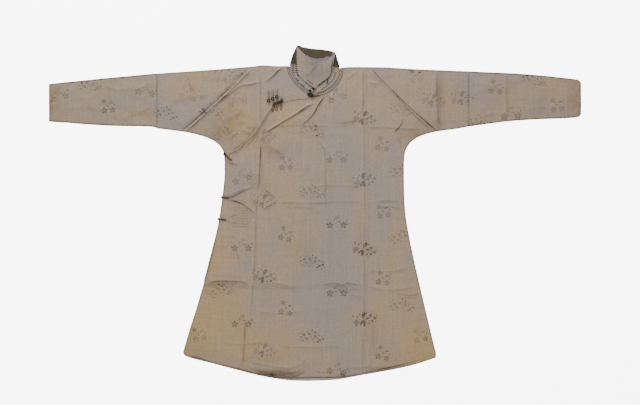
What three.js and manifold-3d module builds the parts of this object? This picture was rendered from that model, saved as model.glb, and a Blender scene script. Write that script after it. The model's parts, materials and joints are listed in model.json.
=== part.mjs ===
// A figured-silk jacket with a tall stand collar and a side-fastened overlap, laid out flat, front up.
// Millimetres. X runs across the garment (the wearer's right is at -X), Y runs from hem to collar,
// Z is up from the surface it lies on. The origin is the bottom centre of the whole garment.
// Every panel is a wall of cloth: an outline, a height at each point, and the cloth's thickness.
import * as THREE from "three";
import { mergeVertices } from "three/addons/utils/BufferGeometryUtils.js";
import Module from "manifold-3d";

const wasm = await Module();
wasm.setup();

// ---- Driving sizes -------------------------------------------------------------------------
const CLOTH = 1.5; // lined silk, outer cloth and lining together
const COLLAR_CLOTH = 1.2; // one face of the stiffened collar
const STAND_THICK = 2.1; // its quilted root round the neck
const CRUSH = 1.2; // the crushed collar's top lies this much higher than its root
const GAP = 0.3; // air between two pieces that touch
const BENT_GAP = 2 * GAP; // and between two that bend alike, each on mesh points of its own
const LAYER = CLOTH + GAP; // how much one layer lifts the next
const EDGE_DROP = 0.8; // how far a turned edge rounds down
const RIM = 4; // width of that rounding
const AIR = 1.1; // slack cloth stands off the layer below by this much
const AIR_REACH = 55; // and takes this far from an edge to do it
const CORD = 2.6; // width of one button cord
const LOOP = 5.2; // width of a doubled cord
const CORD_THICK = 2; // how far a cord stands off the cloth
const CORD_RIM = 1; // width of a cord's rounding
const KNOT = 3.9; // radius of a knot button
const KNOT_FLAT = 0.72; // a knot is this much lower than it is wide
const ON_TOP = 0.35; // air under trim that follows a creased panel
const RIGHT_SEAM = -474; // where the sleeve pieces are sewn on
const LEFT_SEAM = 462;
const STEP_START = 4; // one layer starts to come down off another this far from its edge
const STEP_END = 17; // and is down this far from it
const HEM_SHOW = 9; // the back is this much longer than the front at mid hem

const COARSE = 62; // mesh spacing on flat hidden cloth
const FINE = 34; // and on cloth that shows
const EDGE_STEP = 20; // spacing of points along an outline

// ---- Colours -------------------------------------------------------------------------------
const silk = { color: "#a59788", roughness: 0.62, metalness: 0 };
const olive = { color: "#574c39", roughness: 0.8, metalness: 0 };
const lilac = { color: "#a99db4", roughness: 0.7, metalness: 0 };
const lining = { color: "#c9bbb0", roughness: 0.8, metalness: 0 };
const braid = { color: "#5d4a38", roughness: 0.75, metalness: 0 };
const indigo = { color: "#2f2b3d", roughness: 0.7, metalness: 0 };

// ---- Outline edges: each row is a point the edge passes through ------------------------------
const rightShoulder = table("x y", [
  [RIGHT_SEAM, 418.5], [-321, 429], [-195, 439], [-159, 443], [-120, 441], [-78, 441],
]);
const leftShoulder = table("x y", [
  [78, 435], [105, 438], [210, 437], [303, 431.5], [LEFT_SEAM, 425],
]);
const frontNeck = table("x y", [
  [-78, 441], [-75, 420], [-60, 396], [-39, 375], [-15, 359], [3, 355.5],
  [27, 361], [51, 375], [69, 396], [78, 417], [78, 435],
]);
const leftUnderarm = table("x y", [
  [LEFT_SEAM, 259], [423, 252], [360, 243], [318, 231], [294, 217.5], [279, 201], [270, 180], [267, 144],
]);
const leftSide = table("x y", [
  [267, 144], [268.5, 39], [276, -33], [294, -126], [318, -231], [345, -345], [364, -423],
]);
const hem = table("x y", [
  [362, -434], [315, -450], [264, -463.5], [204, -475.5], [135, -487.5], [66, -500], [0, -503.6],
  [-48, -503.6], [-90, -501], [-168, -487.5], [-249, -467], [-321, -448], [-369, -436], [-392, -427],
]);
const rightSide = table("x y", [
  [-396, -417], [-375, -345], [-354, -279], [-318, -153], [-291, -36], [-277.5, 54], [-271.5, 111],
  [-271.5, 159],
]);
const rightUnderarm = table("x y", [
  [-271.5, 159], [-276, 186], [-291, 207], [-315, 222], [-345, 232.5], [-393, 243], [RIGHT_SEAM, 253.5],
]);
// The overlap's fastening edge, from the base of the collar to the right underarm.
const opening = table("x y", [
  [-271.5, 171], [-250.5, 180], [-225, 195], [-204, 216], [-178.5, 240], [-156, 276], [-134, 309],
  [-114, 328.5], [-82, 335.5], [-51, 341.5], [-24, 344], [-9, 357],
]);
// The hidden flap's inner edge, from the collar down.
const flapEdge = table("x y", [
  [3, 355.5], [8, 290], [6, 216], [21, 195], [30, 159], [32, 0], [30, -196],
]);
const flapFoot = table("x y", [[16, -210], [-160, -214], [-334, -205]]);

// ---- Sleeve pieces: one row for each section, from the seam to the cuff ----------------------
const rightSleeve = table("x top foot", [
  [RIGHT_SEAM - GAP, 418.5, 254], [-495, 417, 259], [-552, 411.5, 260], [-609, 406.5, 261],
  [-654, 402, 263.5], [-699, 397.5, 266.5], [-744, 393, 270], [-780, 389, 272.5], [-798, 387, 274.5],
]);
const leftSleeve = table("x top foot", [
  [LEFT_SEAM + GAP, 425, 259], [519, 422.5, 267], [579, 420, 274.5], [639, 416, 279],
  [693, 411.5, 281.5], [747, 405.5, 283.5], [780, 401.5, 286], [792, 398, 289], [798, 391, 296],
]);

// ---- Folds: a row for each, with its ends, its sideways bow, its width and its height --------
const upperFolds = table("x1 y1 x2 y2 bow width height", [
  [-172, 436, -394, 249, 0, 7, 3.4], // pressed ridge from the shoulder to the right underarm
  [-171, 396, -245, 332, 10, 8, 1.4], // the branch beside it
  [-95, 433, -152, 393, -3, 5, 1.8], // short pull below the collar
  [-166, 425, -158, 262, 3, 6, 1.0], // lengthwise storage crease
]);
const bodyFolds = table("x1 y1 x2 y2 bow width height", [
  [168, 430, 367, 247, 0, 7, 3.4], // pressed ridge from the shoulder to the left underarm
  [-148, 249, -20, 327, -5, 8, 3.2], // pull from the collar to the flap's corner
  [22, 346, -32, 262, 9, 6, 2.2], // short pull below the collar
  [271, 300, 234, 238, 8, 5, 1.6], // armhole pull
  [150, 428, 150, -478, 0, 6, 1.1], // lengthwise storage creases
  [-160, 232, -208, -446, -12, 8, 1.3],
  [-352, -196, -212, -202, 5, 10, 2.6], // crosswise storage creases
  [52, -190, 142, -216, -6, 10, 1.9],
  [222, -232, 314, -212, 6, 9, 1.7],
  [40, 262, 128, 274, 4, 7, 1.4],
  [150, 255, 300, 244, 3, 6, 0.9],
  [200, 34, 266, 28, 3, 8, 1.2],
  [-262, 47, -168, 88, -8, 7, 1.7], // pulls from the waist button
  [-262, 43, -172, 2, 8, 7, 1.9],
  [-196, -462, -20, -462, -14, 10, 2.4], // wrinkle over the hem
  [360, 424, 360, 258, 3, 9, 1.3], // crease across the left sleeve
]);

// Knot buttons: where the knot lies, its size beside a common knot's, and where its cord ends.
const chestButtons = table("x y size tailX tailY", [
  [-138.6, 337.8, 1, -139.5, 369], [-127.2, 342, 1, -127.5, 370], [-114.6, 347.1, 1, -115, 370],
]);
const chestLoops = table("x1 y1 x2 y2", [
  [-119.4, 324, -127.8, 305], [-110.5, 326, -115.8, 306], [-100, 328, -103.8, 308],
]);
const sideButtons = table("x y size tailX tailY", [
  [-271, 176, 1.15, -251, 158], [-279, 47, 1, -258, 45], [-289, -18, 1, -266, -21],
]);
const collarButtons = table("x y size", [[-13, 352, 1.5], [-17, 367, 1], [-7, 373, 0.9]]);

function table(names, rows) {
  const keys = names.split(" ");
  return rows.map((row) => Object.fromEntries(keys.map((key, i) => [key, row[i]])));
}

// ---- Plane geometry --------------------------------------------------------------------------
const smooth = (t) => {
  const c = Math.min(1, Math.max(0, t));
  return c * c * (3 - 2 * c);
};

// Evenly spaced points on a smooth curve through the rows, without the last one.
function along(rows, step = EDGE_STEP, straight = false) {
  const points = rows.map((r) => new THREE.Vector2(r.x, r.y));
  const curve = new THREE.SplineCurve(points);
  if (!straight) {
    const count = Math.max(2, Math.round(curve.getLength() / step));
    return curve.getSpacedPoints(count).slice(0, -1);
  }
  return points.slice(0, -1).flatMap((p, i) => {
    const count = Math.max(1, Math.round(p.distanceTo(points[i + 1]) / step));
    return Array.from({ length: count }, (_, k) => p.clone().lerp(points[i + 1], k / count));
  });
}

function isInside(p, outline) {
  let inside = false;
  for (let i = 0, j = outline.length - 1; i < outline.length; j = i++) {
    const a = outline[i];
    const b = outline[j];
    if (a.y > p.y !== b.y > p.y && p.x < ((b.x - a.x) * (p.y - a.y)) / (b.y - a.y) + a.x) inside = !inside;
  }
  return inside;
}

function edgeDistance(p, outline) {
  let best = Infinity;
  for (let i = 0; i < outline.length; i++) {
    const a = outline[i];
    const b = outline[(i + 1) % outline.length];
    const dx = b.x - a.x;
    const dy = b.y - a.y;
    const t = Math.min(1, Math.max(0, ((p.x - a.x) * dx + (p.y - a.y) * dy) / (dx * dx + dy * dy)));
    best = Math.min(best, Math.hypot(p.x - a.x - dx * t, p.y - a.y - dy * t));
  }
  return best;
}

// The outline moved inwards by a distance; it runs clockwise seen from above when area is negative.
function inset(outline, distance) {
  const turn = Math.sign(THREE.ShapeUtils.area(outline));
  return outline.map((p, i) => {
    const before = outline[(i + outline.length - 1) % outline.length];
    const after = outline[(i + 1) % outline.length];
    const a = new THREE.Vector2(before.y - p.y, p.x - before.x).normalize();
    const b = new THREE.Vector2(p.y - after.y, after.x - p.x).normalize();
    const middle = a.add(b).normalize().multiplyScalar(distance * turn);
    return p.clone().add(middle);
  });
}

// Delaunay triangles over points in the plane, by adding one point at a time.
function delaunay(points) {
  const far = 1e5;
  const all = [...points, { x: -far, y: -far }, { x: far, y: -far }, { x: 0, y: far }];
  const n = points.length;
  const circle = (a, b, c) => {
    const [p, q, r] = [all[a], all[b], all[c]];
    const d = 2 * (p.x * (q.y - r.y) + q.x * (r.y - p.y) + r.x * (p.y - q.y));
    const [pp, qq, rr] = [p, q, r].map((v) => v.x * v.x + v.y * v.y);
    const x = (pp * (q.y - r.y) + qq * (r.y - p.y) + rr * (p.y - q.y)) / d;
    const y = (pp * (r.x - q.x) + qq * (p.x - r.x) + rr * (q.x - p.x)) / d;
    return { corners: [a, b, c], x, y, radius: Math.hypot(p.x - x, p.y - y) };
  };
  let triangles = [circle(n, n + 1, n + 2)];
  for (let i = 0; i < n; i++) {
    const edges = new Map();
    const kept = [];
    for (const t of triangles) {
      if (Math.hypot(all[i].x - t.x, all[i].y - t.y) >= t.radius) {
        kept.push(t);
        continue;
      }
      for (let k = 0; k < 3; k++) {
        const [a, b] = [t.corners[k], t.corners[(k + 1) % 3]];
        if (!edges.delete(`${b} ${a}`)) edges.set(`${a} ${b}`, [a, b]);
      }
    }
    for (const [a, b] of edges.values()) kept.push(circle(a, b, i));
    triangles = kept;
  }
  return triangles.map((t) => t.corners).filter((corners) => corners.every((c) => c < n));
}

// ---- Folds as heights and as mesh points -------------------------------------------------------
// The point at share t along a fold, which bows sideways in a parabola.
function foldPoint(fold, t, aside = 0) {
  const dx = fold.x2 - fold.x1;
  const dy = fold.y2 - fold.y1;
  const length = Math.hypot(dx, dy);
  const off = fold.bow * 4 * t * (1 - t) + aside;
  return new THREE.Vector2(fold.x1 + dx * t - (dy / length) * off, fold.y1 + dy * t + (dx / length) * off);
}

function foldHeight(fold, p) {
  const dx = fold.x2 - fold.x1;
  const dy = fold.y2 - fold.y1;
  const length = Math.hypot(dx, dy);
  const t = ((p.x - fold.x1) * dx + (p.y - fold.y1) * dy) / length ** 2;
  if (t <= 0 || t >= 1) return 0;
  const aside = ((p.y - fold.y1) * dx - (p.x - fold.x1) * dy) / length - fold.bow * 4 * t * (1 - t);
  const ends = smooth(t * 6) * smooth((1 - t) * 6);
  return fold.height * ends * Math.exp(-((aside / fold.width) ** 2) * 1.6);
}

const foldHeights = (folds, p) => Math.max(0, ...folds.map((fold) => foldHeight(fold, p)));

function foldMesh(fold) {
  const count = Math.max(2, Math.round(Math.hypot(fold.x2 - fold.x1, fold.y2 - fold.y1) / EDGE_STEP / 1.3));
  const lines = [-1.5 * fold.width, 0, 1.5 * fold.width];
  const shares = Array.from({ length: count + 1 }, (_, k) => k / count);
  return lines.flatMap((aside) => shares.map((t) => foldPoint(fold, t, aside)));
}

// ---- Walls of cloth ------------------------------------------------------------------------------
// Mesh points for an outline: the edge, its rounded rim, any guide lines, the folds, then an even field.
function fieldPoints(outline, folds, guides, spacing, edge) {
  const points = [...outline];
  const clear = (p, reach) => points.every((q) => Math.hypot(p.x - q.x, p.y - q.y) > reach);
  const add = (p, fromEdge, reach) => {
    if (isInside(p, outline) && edgeDistance(p, outline) > fromEdge && clear(p, reach)) points.push(p);
  };
  for (const p of inset(outline, edge)) add(p, edge * 0.7, edge * 0.2);
  for (const p of guides) add(p, edge * 0.7, edge * 0.6);
  for (const fold of folds) for (const p of foldMesh(fold)) add(p, edge * 2, 5);
  const box = new THREE.Box2().setFromPoints(outline);
  let row = 0;
  for (let y = box.min.y; y < box.max.y; y += spacing * 0.866, row++) {
    for (let x = box.min.x + (row % 2) * spacing * 0.5; x < box.max.x; x += spacing) {
      const nudge = 0.4 * Math.sin(x * 12.9 + y * 78.2); // keeps four points off one circle
      add(new THREE.Vector2(x + nudge, y - nudge), spacing * 0.35, spacing * 0.5);
    }
  }
  return points;
}

// A wall over an outline: foot(p) is its lower face, and its upper face rounds down at the edge.
function wall(outline, foot, options = {}) {
  const { folds = [], guides = [], spacing = FINE, thick = CLOTH, drop = EDGE_DROP, edge = RIM } = options;
  const flat = fieldPoints(outline, folds, guides, spacing, edge);
  const rounded = (p) => drop * (1 - smooth(edgeDistance(p, outline) / edge));
  const triangles = delaunay(flat).filter((t) => {
    const centre = { x: 0, y: 0 };
    for (const c of t) {
      centre.x += flat[c].x / 3;
      centre.y += flat[c].y / 3;
    }
    return isInside(centre, outline);
  });
  const count = flat.length;
  const top = flat.map((p) => [p.x, p.y, foot(p) + thick - rounded(p)]);
  const under = flat.map((p) => [p.x, p.y, foot(p)]);
  const turned = (t) => {
    const [a, b, c] = t.map((i) => flat[i]);
    return (b.x - a.x) * (c.y - a.y) - (b.y - a.y) * (c.x - a.x) > 0 ? t : [t[0], t[2], t[1]];
  };
  const upper = triangles.map(turned);
  const lower = upper.map(([a, b, c]) => [a + count, c + count, b + count]);
  const rim = new Map();
  for (const t of upper) {
    for (let k = 0; k < 3; k++) {
      const [a, b] = [t[k], t[(k + 1) % 3]];
      if (!rim.delete(`${b} ${a}`)) rim.set(`${a} ${b}`, [a, b]);
    }
  }
  const sides = [...rim.values()].flatMap(([a, b]) => [[b, a, a + count], [b, a + count, b + count]]);
  return solid([...top, ...under], [...upper, ...lower, ...sides]);
}

function solid(positions, faces) {
  const geometry = new THREE.BufferGeometry();
  geometry.setAttribute("position", new THREE.Float32BufferAttribute(positions.flat(), 3));
  geometry.setIndex(faces.flat());
  geometry.computeVertexNormals();
  return geometry;
}

// The height of a wall's upper face at a point, read from its triangles.
function topOf(geometry, p) {
  const at = geometry.attributes.position;
  const index = geometry.index.array;
  let best = 0;
  for (let i = 0; i < index.length; i += 3) {
    const [a, b, c] = [index[i], index[i + 1], index[i + 2]];
    const [ax, bx, cx] = [at.getX(a), at.getX(b), at.getX(c)];
    const [ay, by, cy] = [at.getY(a), at.getY(b), at.getY(c)];
    const d = (by - cy) * (ax - cx) + (cx - bx) * (ay - cy);
    if (Math.abs(d) < 1e-9) continue;
    const u = ((by - cy) * (p.x - cx) + (cx - bx) * (p.y - cy)) / d;
    const v = ((cy - ay) * (p.x - cx) + (ax - cx) * (p.y - cy)) / d;
    if (u < -1e-6 || v < -1e-6 || u + v > 1 + 1e-6) continue;
    best = Math.max(best, u * at.getZ(a) + v * at.getZ(b) + (1 - u - v) * at.getZ(c));
  }
  return best;
}

// ---- Body panels -----------------------------------------------------------------------------------
const backNeck = table("x y", [[-78, 441], [-60, 434], [0, 431], [60, 433], [78, 435]]);
const backOutline = [
  ...along(rightShoulder), ...along(backNeck), ...along(leftShoulder),
  ...along([leftShoulder.at(-1), leftUnderarm[0]]), ...along(leftUnderarm), ...along(leftSide),
  ...along([leftSide.at(-1), hem[0]]), ...along(hem), ...along([hem.at(-1), rightSide[0]]),
  ...along(rightSide), ...along(rightUnderarm), ...along([rightUnderarm.at(-1), rightShoulder[0]]),
];

const flapOutline = [
  ...along(rightShoulder), ...along(frontNeck.slice(0, 6)), ...along(flapEdge),
  ...along([flapEdge.at(-1), flapFoot[0]]),
  ...along(flapFoot), ...along([flapFoot.at(-1), ...rightSide.slice(4)]), ...along(rightUnderarm),
  ...along([rightUnderarm.at(-1), rightShoulder[0]]),
];

const hemRise = (x) => HEM_SHOW * Math.exp(-(((x + 6) / 120) ** 2));
const frontHem = hem.map((p) => ({ x: p.x, y: p.y + hemRise(p.x) }));
const overlapOutline = [
  ...along(opening, EDGE_STEP * 0.9), ...along(
    [{ x: -9, y: 357 }, { x: 3, y: 355.5 }, ...frontNeck.slice(6)], EDGE_STEP * 0.7,
  ),
  ...along(leftShoulder), ...along([leftShoulder.at(-1), leftUnderarm[0]]),
  ...along(leftUnderarm, EDGE_STEP * 0.8), ...along(leftSide), ...along([leftSide.at(-1), frontHem[0]]), ...along(frontHem),
  ...along([frontHem.at(-1), rightSide[0]]), ...along([...rightSide.slice(0, -1), { x: -271.5, y: 150 }]),
  ...along([{ x: -271.5, y: 150 }, opening[0]]),
];

const slack = (p, outline) => AIR * smooth(edgeDistance(p, outline) / AIR_REACH);

// 1 over the hidden flap, coming down to 0 beyond its edge.
function overFlap(p) {
  if (isInside(p, flapOutline)) return 1;
  return 1 - smooth((edgeDistance(p, flapOutline) - STEP_START) / (STEP_END - STEP_START));
}

// The flap is flat where the overlap covers it, and slack where it shows.
function shows(p) {
  if (isInside(p, overlapOutline)) return 0;
  return smooth((edgeDistance(p, overlapOutline) - STEP_START) / (STEP_END - STEP_START));
}
const flapFootHeight = (p) => LAYER + shows(p) * (slack(p, flapOutline) + foldHeights(upperFolds, p));
const overlapFoot = (p) => {
  const fromOpening = smooth(edgeDistance(p, overlapOutline) / 16);
  return LAYER * (1 + overFlap(p)) + slack(p, overlapOutline) + fromOpening * foldHeights(bodyFolds, p);
};

// Lines beside an outline, which give the mesh its corners where a step starts and ends.
const stepLines = (outline) => [STEP_START, STEP_END].flatMap((d) => inset(outline, -d));

const backPanel = wall(backOutline, () => 0, { spacing: COARSE });
const flapPanel = wall(flapOutline, flapFootHeight, {
  folds: upperFolds, guides: [...along(opening), ...stepLines(overlapOutline)], spacing: FINE * 1.15,
});
const overlapPanel = wall(overlapOutline, overlapFoot, {
  folds: bodyFolds, guides: [...along(flapEdge), ...along(flapFoot), ...stepLines(flapOutline)],
});

// ---- Sleeve pieces: flat tubes, open at the cuff and at the seam ------------------------------------
// One ring of a flattened tube: round the fold at the top, along the front, round the seam, along the back.
function ring(section, half, lift, thick) {
  const points = [];
  const sideSteps = 4;
  const flatSteps = 7;
  const top = section.top - half;
  const foot = section.foot + half;
  for (let k = 0; k <= sideSteps; k++) {
    const a = -Math.PI / 2 + (Math.PI * k) / sideSteps;
    points.push([section.x, top + (half - thick) * Math.cos(a), half + (half - thick) * Math.sin(a)]);
  }
  for (let k = 1; k < flatSteps; k++) {
    const t = k / flatSteps;
    const height = 2 * half - thick + lift * Math.sin(Math.PI * t) ** 0.8;
    points.push([section.x, top + (foot - top) * t, height]);
  }
  for (let k = 0; k <= sideSteps; k++) {
    const a = Math.PI / 2 + (Math.PI * k) / sideSteps;
    points.push([section.x, foot + (half - thick) * Math.cos(a), half + (half - thick) * Math.sin(a)]);
  }
  for (let k = 1; k < flatSteps; k++) {
    points.push([section.x, foot + (top - foot) * (k / flatSteps), thick]);
  }
  return points;
}

function flatTube(sections) {
  const half = (2 * CLOTH + GAP) / 2;
  const outer = sections.map((s, i) => ring(s, half, sleeveLift(i, sections.length), 0));
  const inner = sections.map((s, i) => ring(s, half, sleeveLift(i, sections.length), CLOTH));
  const size = outer[0].length;
  const faces = [];
  const quad = (a, b, c, d) => faces.push([a, b, c], [a, c, d]);
  const at = (layer, i, k) => (layer * sections.length + i) * size + (k % size);
  for (let i = 0; i + 1 < sections.length; i++) {
    for (let k = 0; k < size; k++) {
      quad(at(0, i, k), at(0, i, k + 1), at(0, i + 1, k + 1), at(0, i + 1, k));
      quad(at(1, i, k), at(1, i + 1, k), at(1, i + 1, k + 1), at(1, i, k + 1));
    }
  }
  const last = sections.length - 1;
  for (let k = 0; k < size; k++) {
    quad(at(0, 0, k), at(1, 0, k), at(1, 0, k + 1), at(0, 0, k + 1));
    quad(at(0, last, k), at(0, last, k + 1), at(1, last, k + 1), at(1, last, k));
  }
  return facingOut(solid([...outer.flat(), ...inner.flat()], faces));
}

const sleeveLift = (i, count) => AIR * (1 + 0.35 * Math.sin(i * 1.9)) * (i === count - 1 ? 0.6 : 1);

// Turns every face round when the solid was wound inside out.
function facingOut(geometry) {
  const at = geometry.attributes.position;
  const index = geometry.index.array;
  let volume = 0;
  const [a, b, c] = [new THREE.Vector3(), new THREE.Vector3(), new THREE.Vector3()];
  for (let i = 0; i < index.length; i += 3) {
    a.fromBufferAttribute(at, index[i]);
    b.fromBufferAttribute(at, index[i + 1]);
    c.fromBufferAttribute(at, index[i + 2]);
    volume += a.dot(b.cross(c));
  }
  if (volume < 0) {
    for (let i = 0; i < index.length; i += 3) [index[i], index[i + 1]] = [index[i + 1], index[i]];
  }
  geometry.computeVertexNormals();
  return geometry;
}

// Tables run from the seam outwards; three.js rings need growing x, and facingOut settles the winding.
const rightSleevePiece = flatTube(rightSleeve);
const leftSleevePiece = flatTube(leftSleeve);

// ---- Collar ------------------------------------------------------------------------------------------
const collarBackEdge = table("x y", [
  [-77, 441.5 + GAP], [-69, 471], [-56, 500], [-53, 504], [-48, 503], [-36, 498], [-12, 493.5], [15, 491.5],
  [48, 486.5], [61, 482], [65, 471], [75, 436.5 + GAP],
]);
const collarFrontEdge = table("x y", [
  [-54, 500], [-40, 484], [-22, 468], [-8, 458], [8, 454], [24, 456], [40, 466], [59, 481.5],
  [58, 462], [53, 436], [49, 409], [26, 392], [2, 374], [-14, 378], [-34, 396], [-50, 414], [-54, 440],
  [-55, 470],
]);
const collarUnderEdge = table("x y", [
  [-34, 486], [-20, 472], [-6, 466.5], [10, 465], [26, 467], [42, 475], [48, 462], [40, 440], [0, 430],
  [-30, 440],
]);
const rightStandEdge = table("x y", [
  [-76, 446], [-53, 449], [-51, 422], [-44, 407], [-26, 391], [-4, 375], [-3, 362], [-14, 362.5],
  [-37, 378.5], [-56, 398.5], [-71, 421],
]);
const leftStandEdge = table("x y", [
  [74, 436], [56, 440], [52, 424], [46, 406], [25, 391], [3, 376], [2, 362], [5, 359.5], [26, 365],
  [48, 378.5], [65, 398], [74, 417],
]);

const closed = (rows, step, straight) => along([...rows, rows[0]], step, straight);
// The collar's front lies over the stands, its crushed top standing a little higher than its root.
const frontFold = (p) => 0.9 * Math.exp(-(((p.y - 424 - 0.35 * p.x) / 9) ** 2));
const frontRise = (p) => CRUSH * smooth((p.y - 400) / 90) + frontFold(p);
const standFoot = () => LAYER;
const frontFoot = (p) => LAYER + STAND_THICK + GAP + frontRise(p);
const collarBack = wall(closed(collarBackEdge, 11, true), () => 0, {
  spacing: 30, thick: COLLAR_CLOTH, drop: 0.5,
});
const collarUnder = wall(closed(collarUnderEdge, 12), (p) => frontFoot(p) - COLLAR_CLOTH - BENT_GAP, {
  spacing: 26, thick: COLLAR_CLOTH, drop: 0.4,
});
const collarFront = wall(closed(collarFrontEdge, 10), frontFoot, {
  spacing: 15, thick: COLLAR_CLOTH, drop: 0.5,
});
const standShape = { spacing: 9, thick: STAND_THICK, drop: 0.5 };
const rightStand = wall(closed(rightStandEdge, 8, true), standFoot, standShape);
const leftStand = wall(closed(leftStandEdge, 8, true), standFoot, standShape);

// ---- Trim that lies on the panels ------------------------------------------------------------------
const panels = [backPanel, flapPanel, overlapPanel, rightStand, leftStand, collarFront];
const REACH = 4; // trim rests on the highest cloth within this distance
const around = [[0, 0], [REACH, 0], [-REACH, 0], [0, REACH], [0, -REACH], [REACH * 2, 0]];
const topHere = (p) => Math.max(...panels.map((panel) => topOf(panel, p)));
const onPanels = (p) => Math.max(...around.map(([x, y]) => topHere({ x: p.x + x, y: p.y + y }))) + ON_TOP;

// A line moved sideways, to its left when the distance is positive.
function beside(rows, distance, step) {
  const curve = new THREE.SplineCurve(rows.map((r) => new THREE.Vector2(r.x, r.y)));
  const count = Math.max(2, Math.round(curve.getLength() / step));
  return Array.from({ length: count + 1 }, (_, k) => {
    const way = curve.getTangentAt(k / count);
    return curve.getPointAt(k / count).add(new THREE.Vector2(-way.y, way.x).multiplyScalar(distance));
  });
}

// A strip with a rounded top along a line, following whatever panel is under it.
function strap(rows, width, { thick = CORD_THICK, step = 5, foot = onPanels } = {}) {
  const outline = [...beside(rows, width / 2, step), ...beside(rows, -width / 2, step).reverse()];
  const guides = beside(rows, 0, step).slice(1, -1);
  return wall(outline, foot, { guides, spacing: 400, thick, drop: thick * 0.45, edge: CORD_RIM });
}

const asSolid = (geometry) => {
  const plain = geometry.clone();
  for (const name of ["normal", "uv"]) plain.deleteAttribute(name);
  const merged = mergeVertices(plain);
  return new wasm.Manifold(
    new wasm.Mesh({
      numProp: 3,
      vertProperties: new Float32Array(merged.attributes.position.array),
      triVerts: new Uint32Array(merged.index.array),
    }),
  );
};

function joined(first, second) {
  const mesh = asSolid(first).add(asSolid(second)).getMesh();
  const geometry = new THREE.BufferGeometry();
  geometry.setAttribute("position", new THREE.Float32BufferAttribute(mesh.vertProperties, 3));
  geometry.setIndex([...mesh.triVerts]);
  geometry.computeVertexNormals();
  return geometry;
}

function knot({ x, y, size }) {
  const ball = new THREE.SphereGeometry(KNOT * size, 10, 7);
  ball.scale(1, 1, KNOT_FLAT);
  ball.translate(x, y, onPanels({ x, y }) + KNOT * size * KNOT_FLAT);
  return ball;
}

const button = (row, width) => joined(knot(row), strap([row, { x: row.tailX, y: row.tailY }], width));
const loop = ({ x1, y1, x2, y2 }) => strap([{ x: x1, y: y1 }, { x: x2, y: y2 }], LOOP);

// The piping sits on the fronts just outside the neck seam.
const PIPING = 5;
const PIPING_THICK = 1.1;
const piping = (rows) => strap(beside(rows, -PIPING * 0.75, 8), PIPING, { thick: PIPING_THICK, step: 9 });
const rightPiping = piping(frontNeck.slice(0, 5));
const leftPiping = piping(frontNeck.slice(5));

// The collar's own loop crosses the piping.
const overPiping = (p) => onPanels(p) + PIPING_THICK + BENT_GAP;
const collarLoop = strap([{ x: -4, y: 349 }, { x: 17, y: 353 }], CORD, { foot: overPiping });

// Below the front's hem the back's lining shows as a narrow strip.
const LINING_INSET = 2.5; // the back's own cloth turns in this far
const LINING_THICK = 0.9;
const liningRow = along(hem, 12).filter((p) => hemRise(p.x) > LINING_INSET + 2);
const liningFoot = liningRow.map((p) => new THREE.Vector2(p.x, p.y + LINING_INSET));
const liningTop = liningRow.map((p) => new THREE.Vector2(p.x, p.y + hemRise(p.x) - 2 * GAP)).reverse();
const hemLining = wall([...liningFoot, ...liningTop], () => LAYER, {
  spacing: 400, thick: LINING_THICK, drop: 0.3, edge: CORD_RIM,
});

function piece(name, geometry, look) {
  const mesh = new THREE.Mesh(geometry, new THREE.MeshStandardMaterial(look));
  mesh.name = name;
  return mesh;
}

const jacket = new THREE.Group();
jacket.add(
  piece("back", backPanel, silk),
  piece("front_flap", flapPanel, silk),
  piece("front_overlap", overlapPanel, silk),
  piece("right_sleeve", rightSleevePiece, silk),
  piece("left_sleeve", leftSleevePiece, silk),
  piece("collar_back", collarBack, olive),
  piece("collar_under", collarUnder, lilac),
  piece("collar_front", collarFront, silk),
  piece("right_stand", rightStand, silk),
  piece("left_stand", leftStand, silk),
  piece("right_piping", rightPiping, olive),
  piece("left_piping", leftPiping, olive),
  piece("hem_lining", hemLining, lining),
  piece("collar_loop", collarLoop, braid),
);
function numbered(name, rows, make, look) {
  rows.forEach((row, i) => jacket.add(piece(`${name}_${i + 1}`, make(row), look)));
}
numbered("collar_button", collarButtons, knot, indigo);
numbered("chest_button", chestButtons, (row) => button(row, LOOP), braid);
numbered("chest_loop", chestLoops, loop, braid);
numbered("side_button", sideButtons, (row) => button(row, CORD), braid);

export default jacket;
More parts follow.
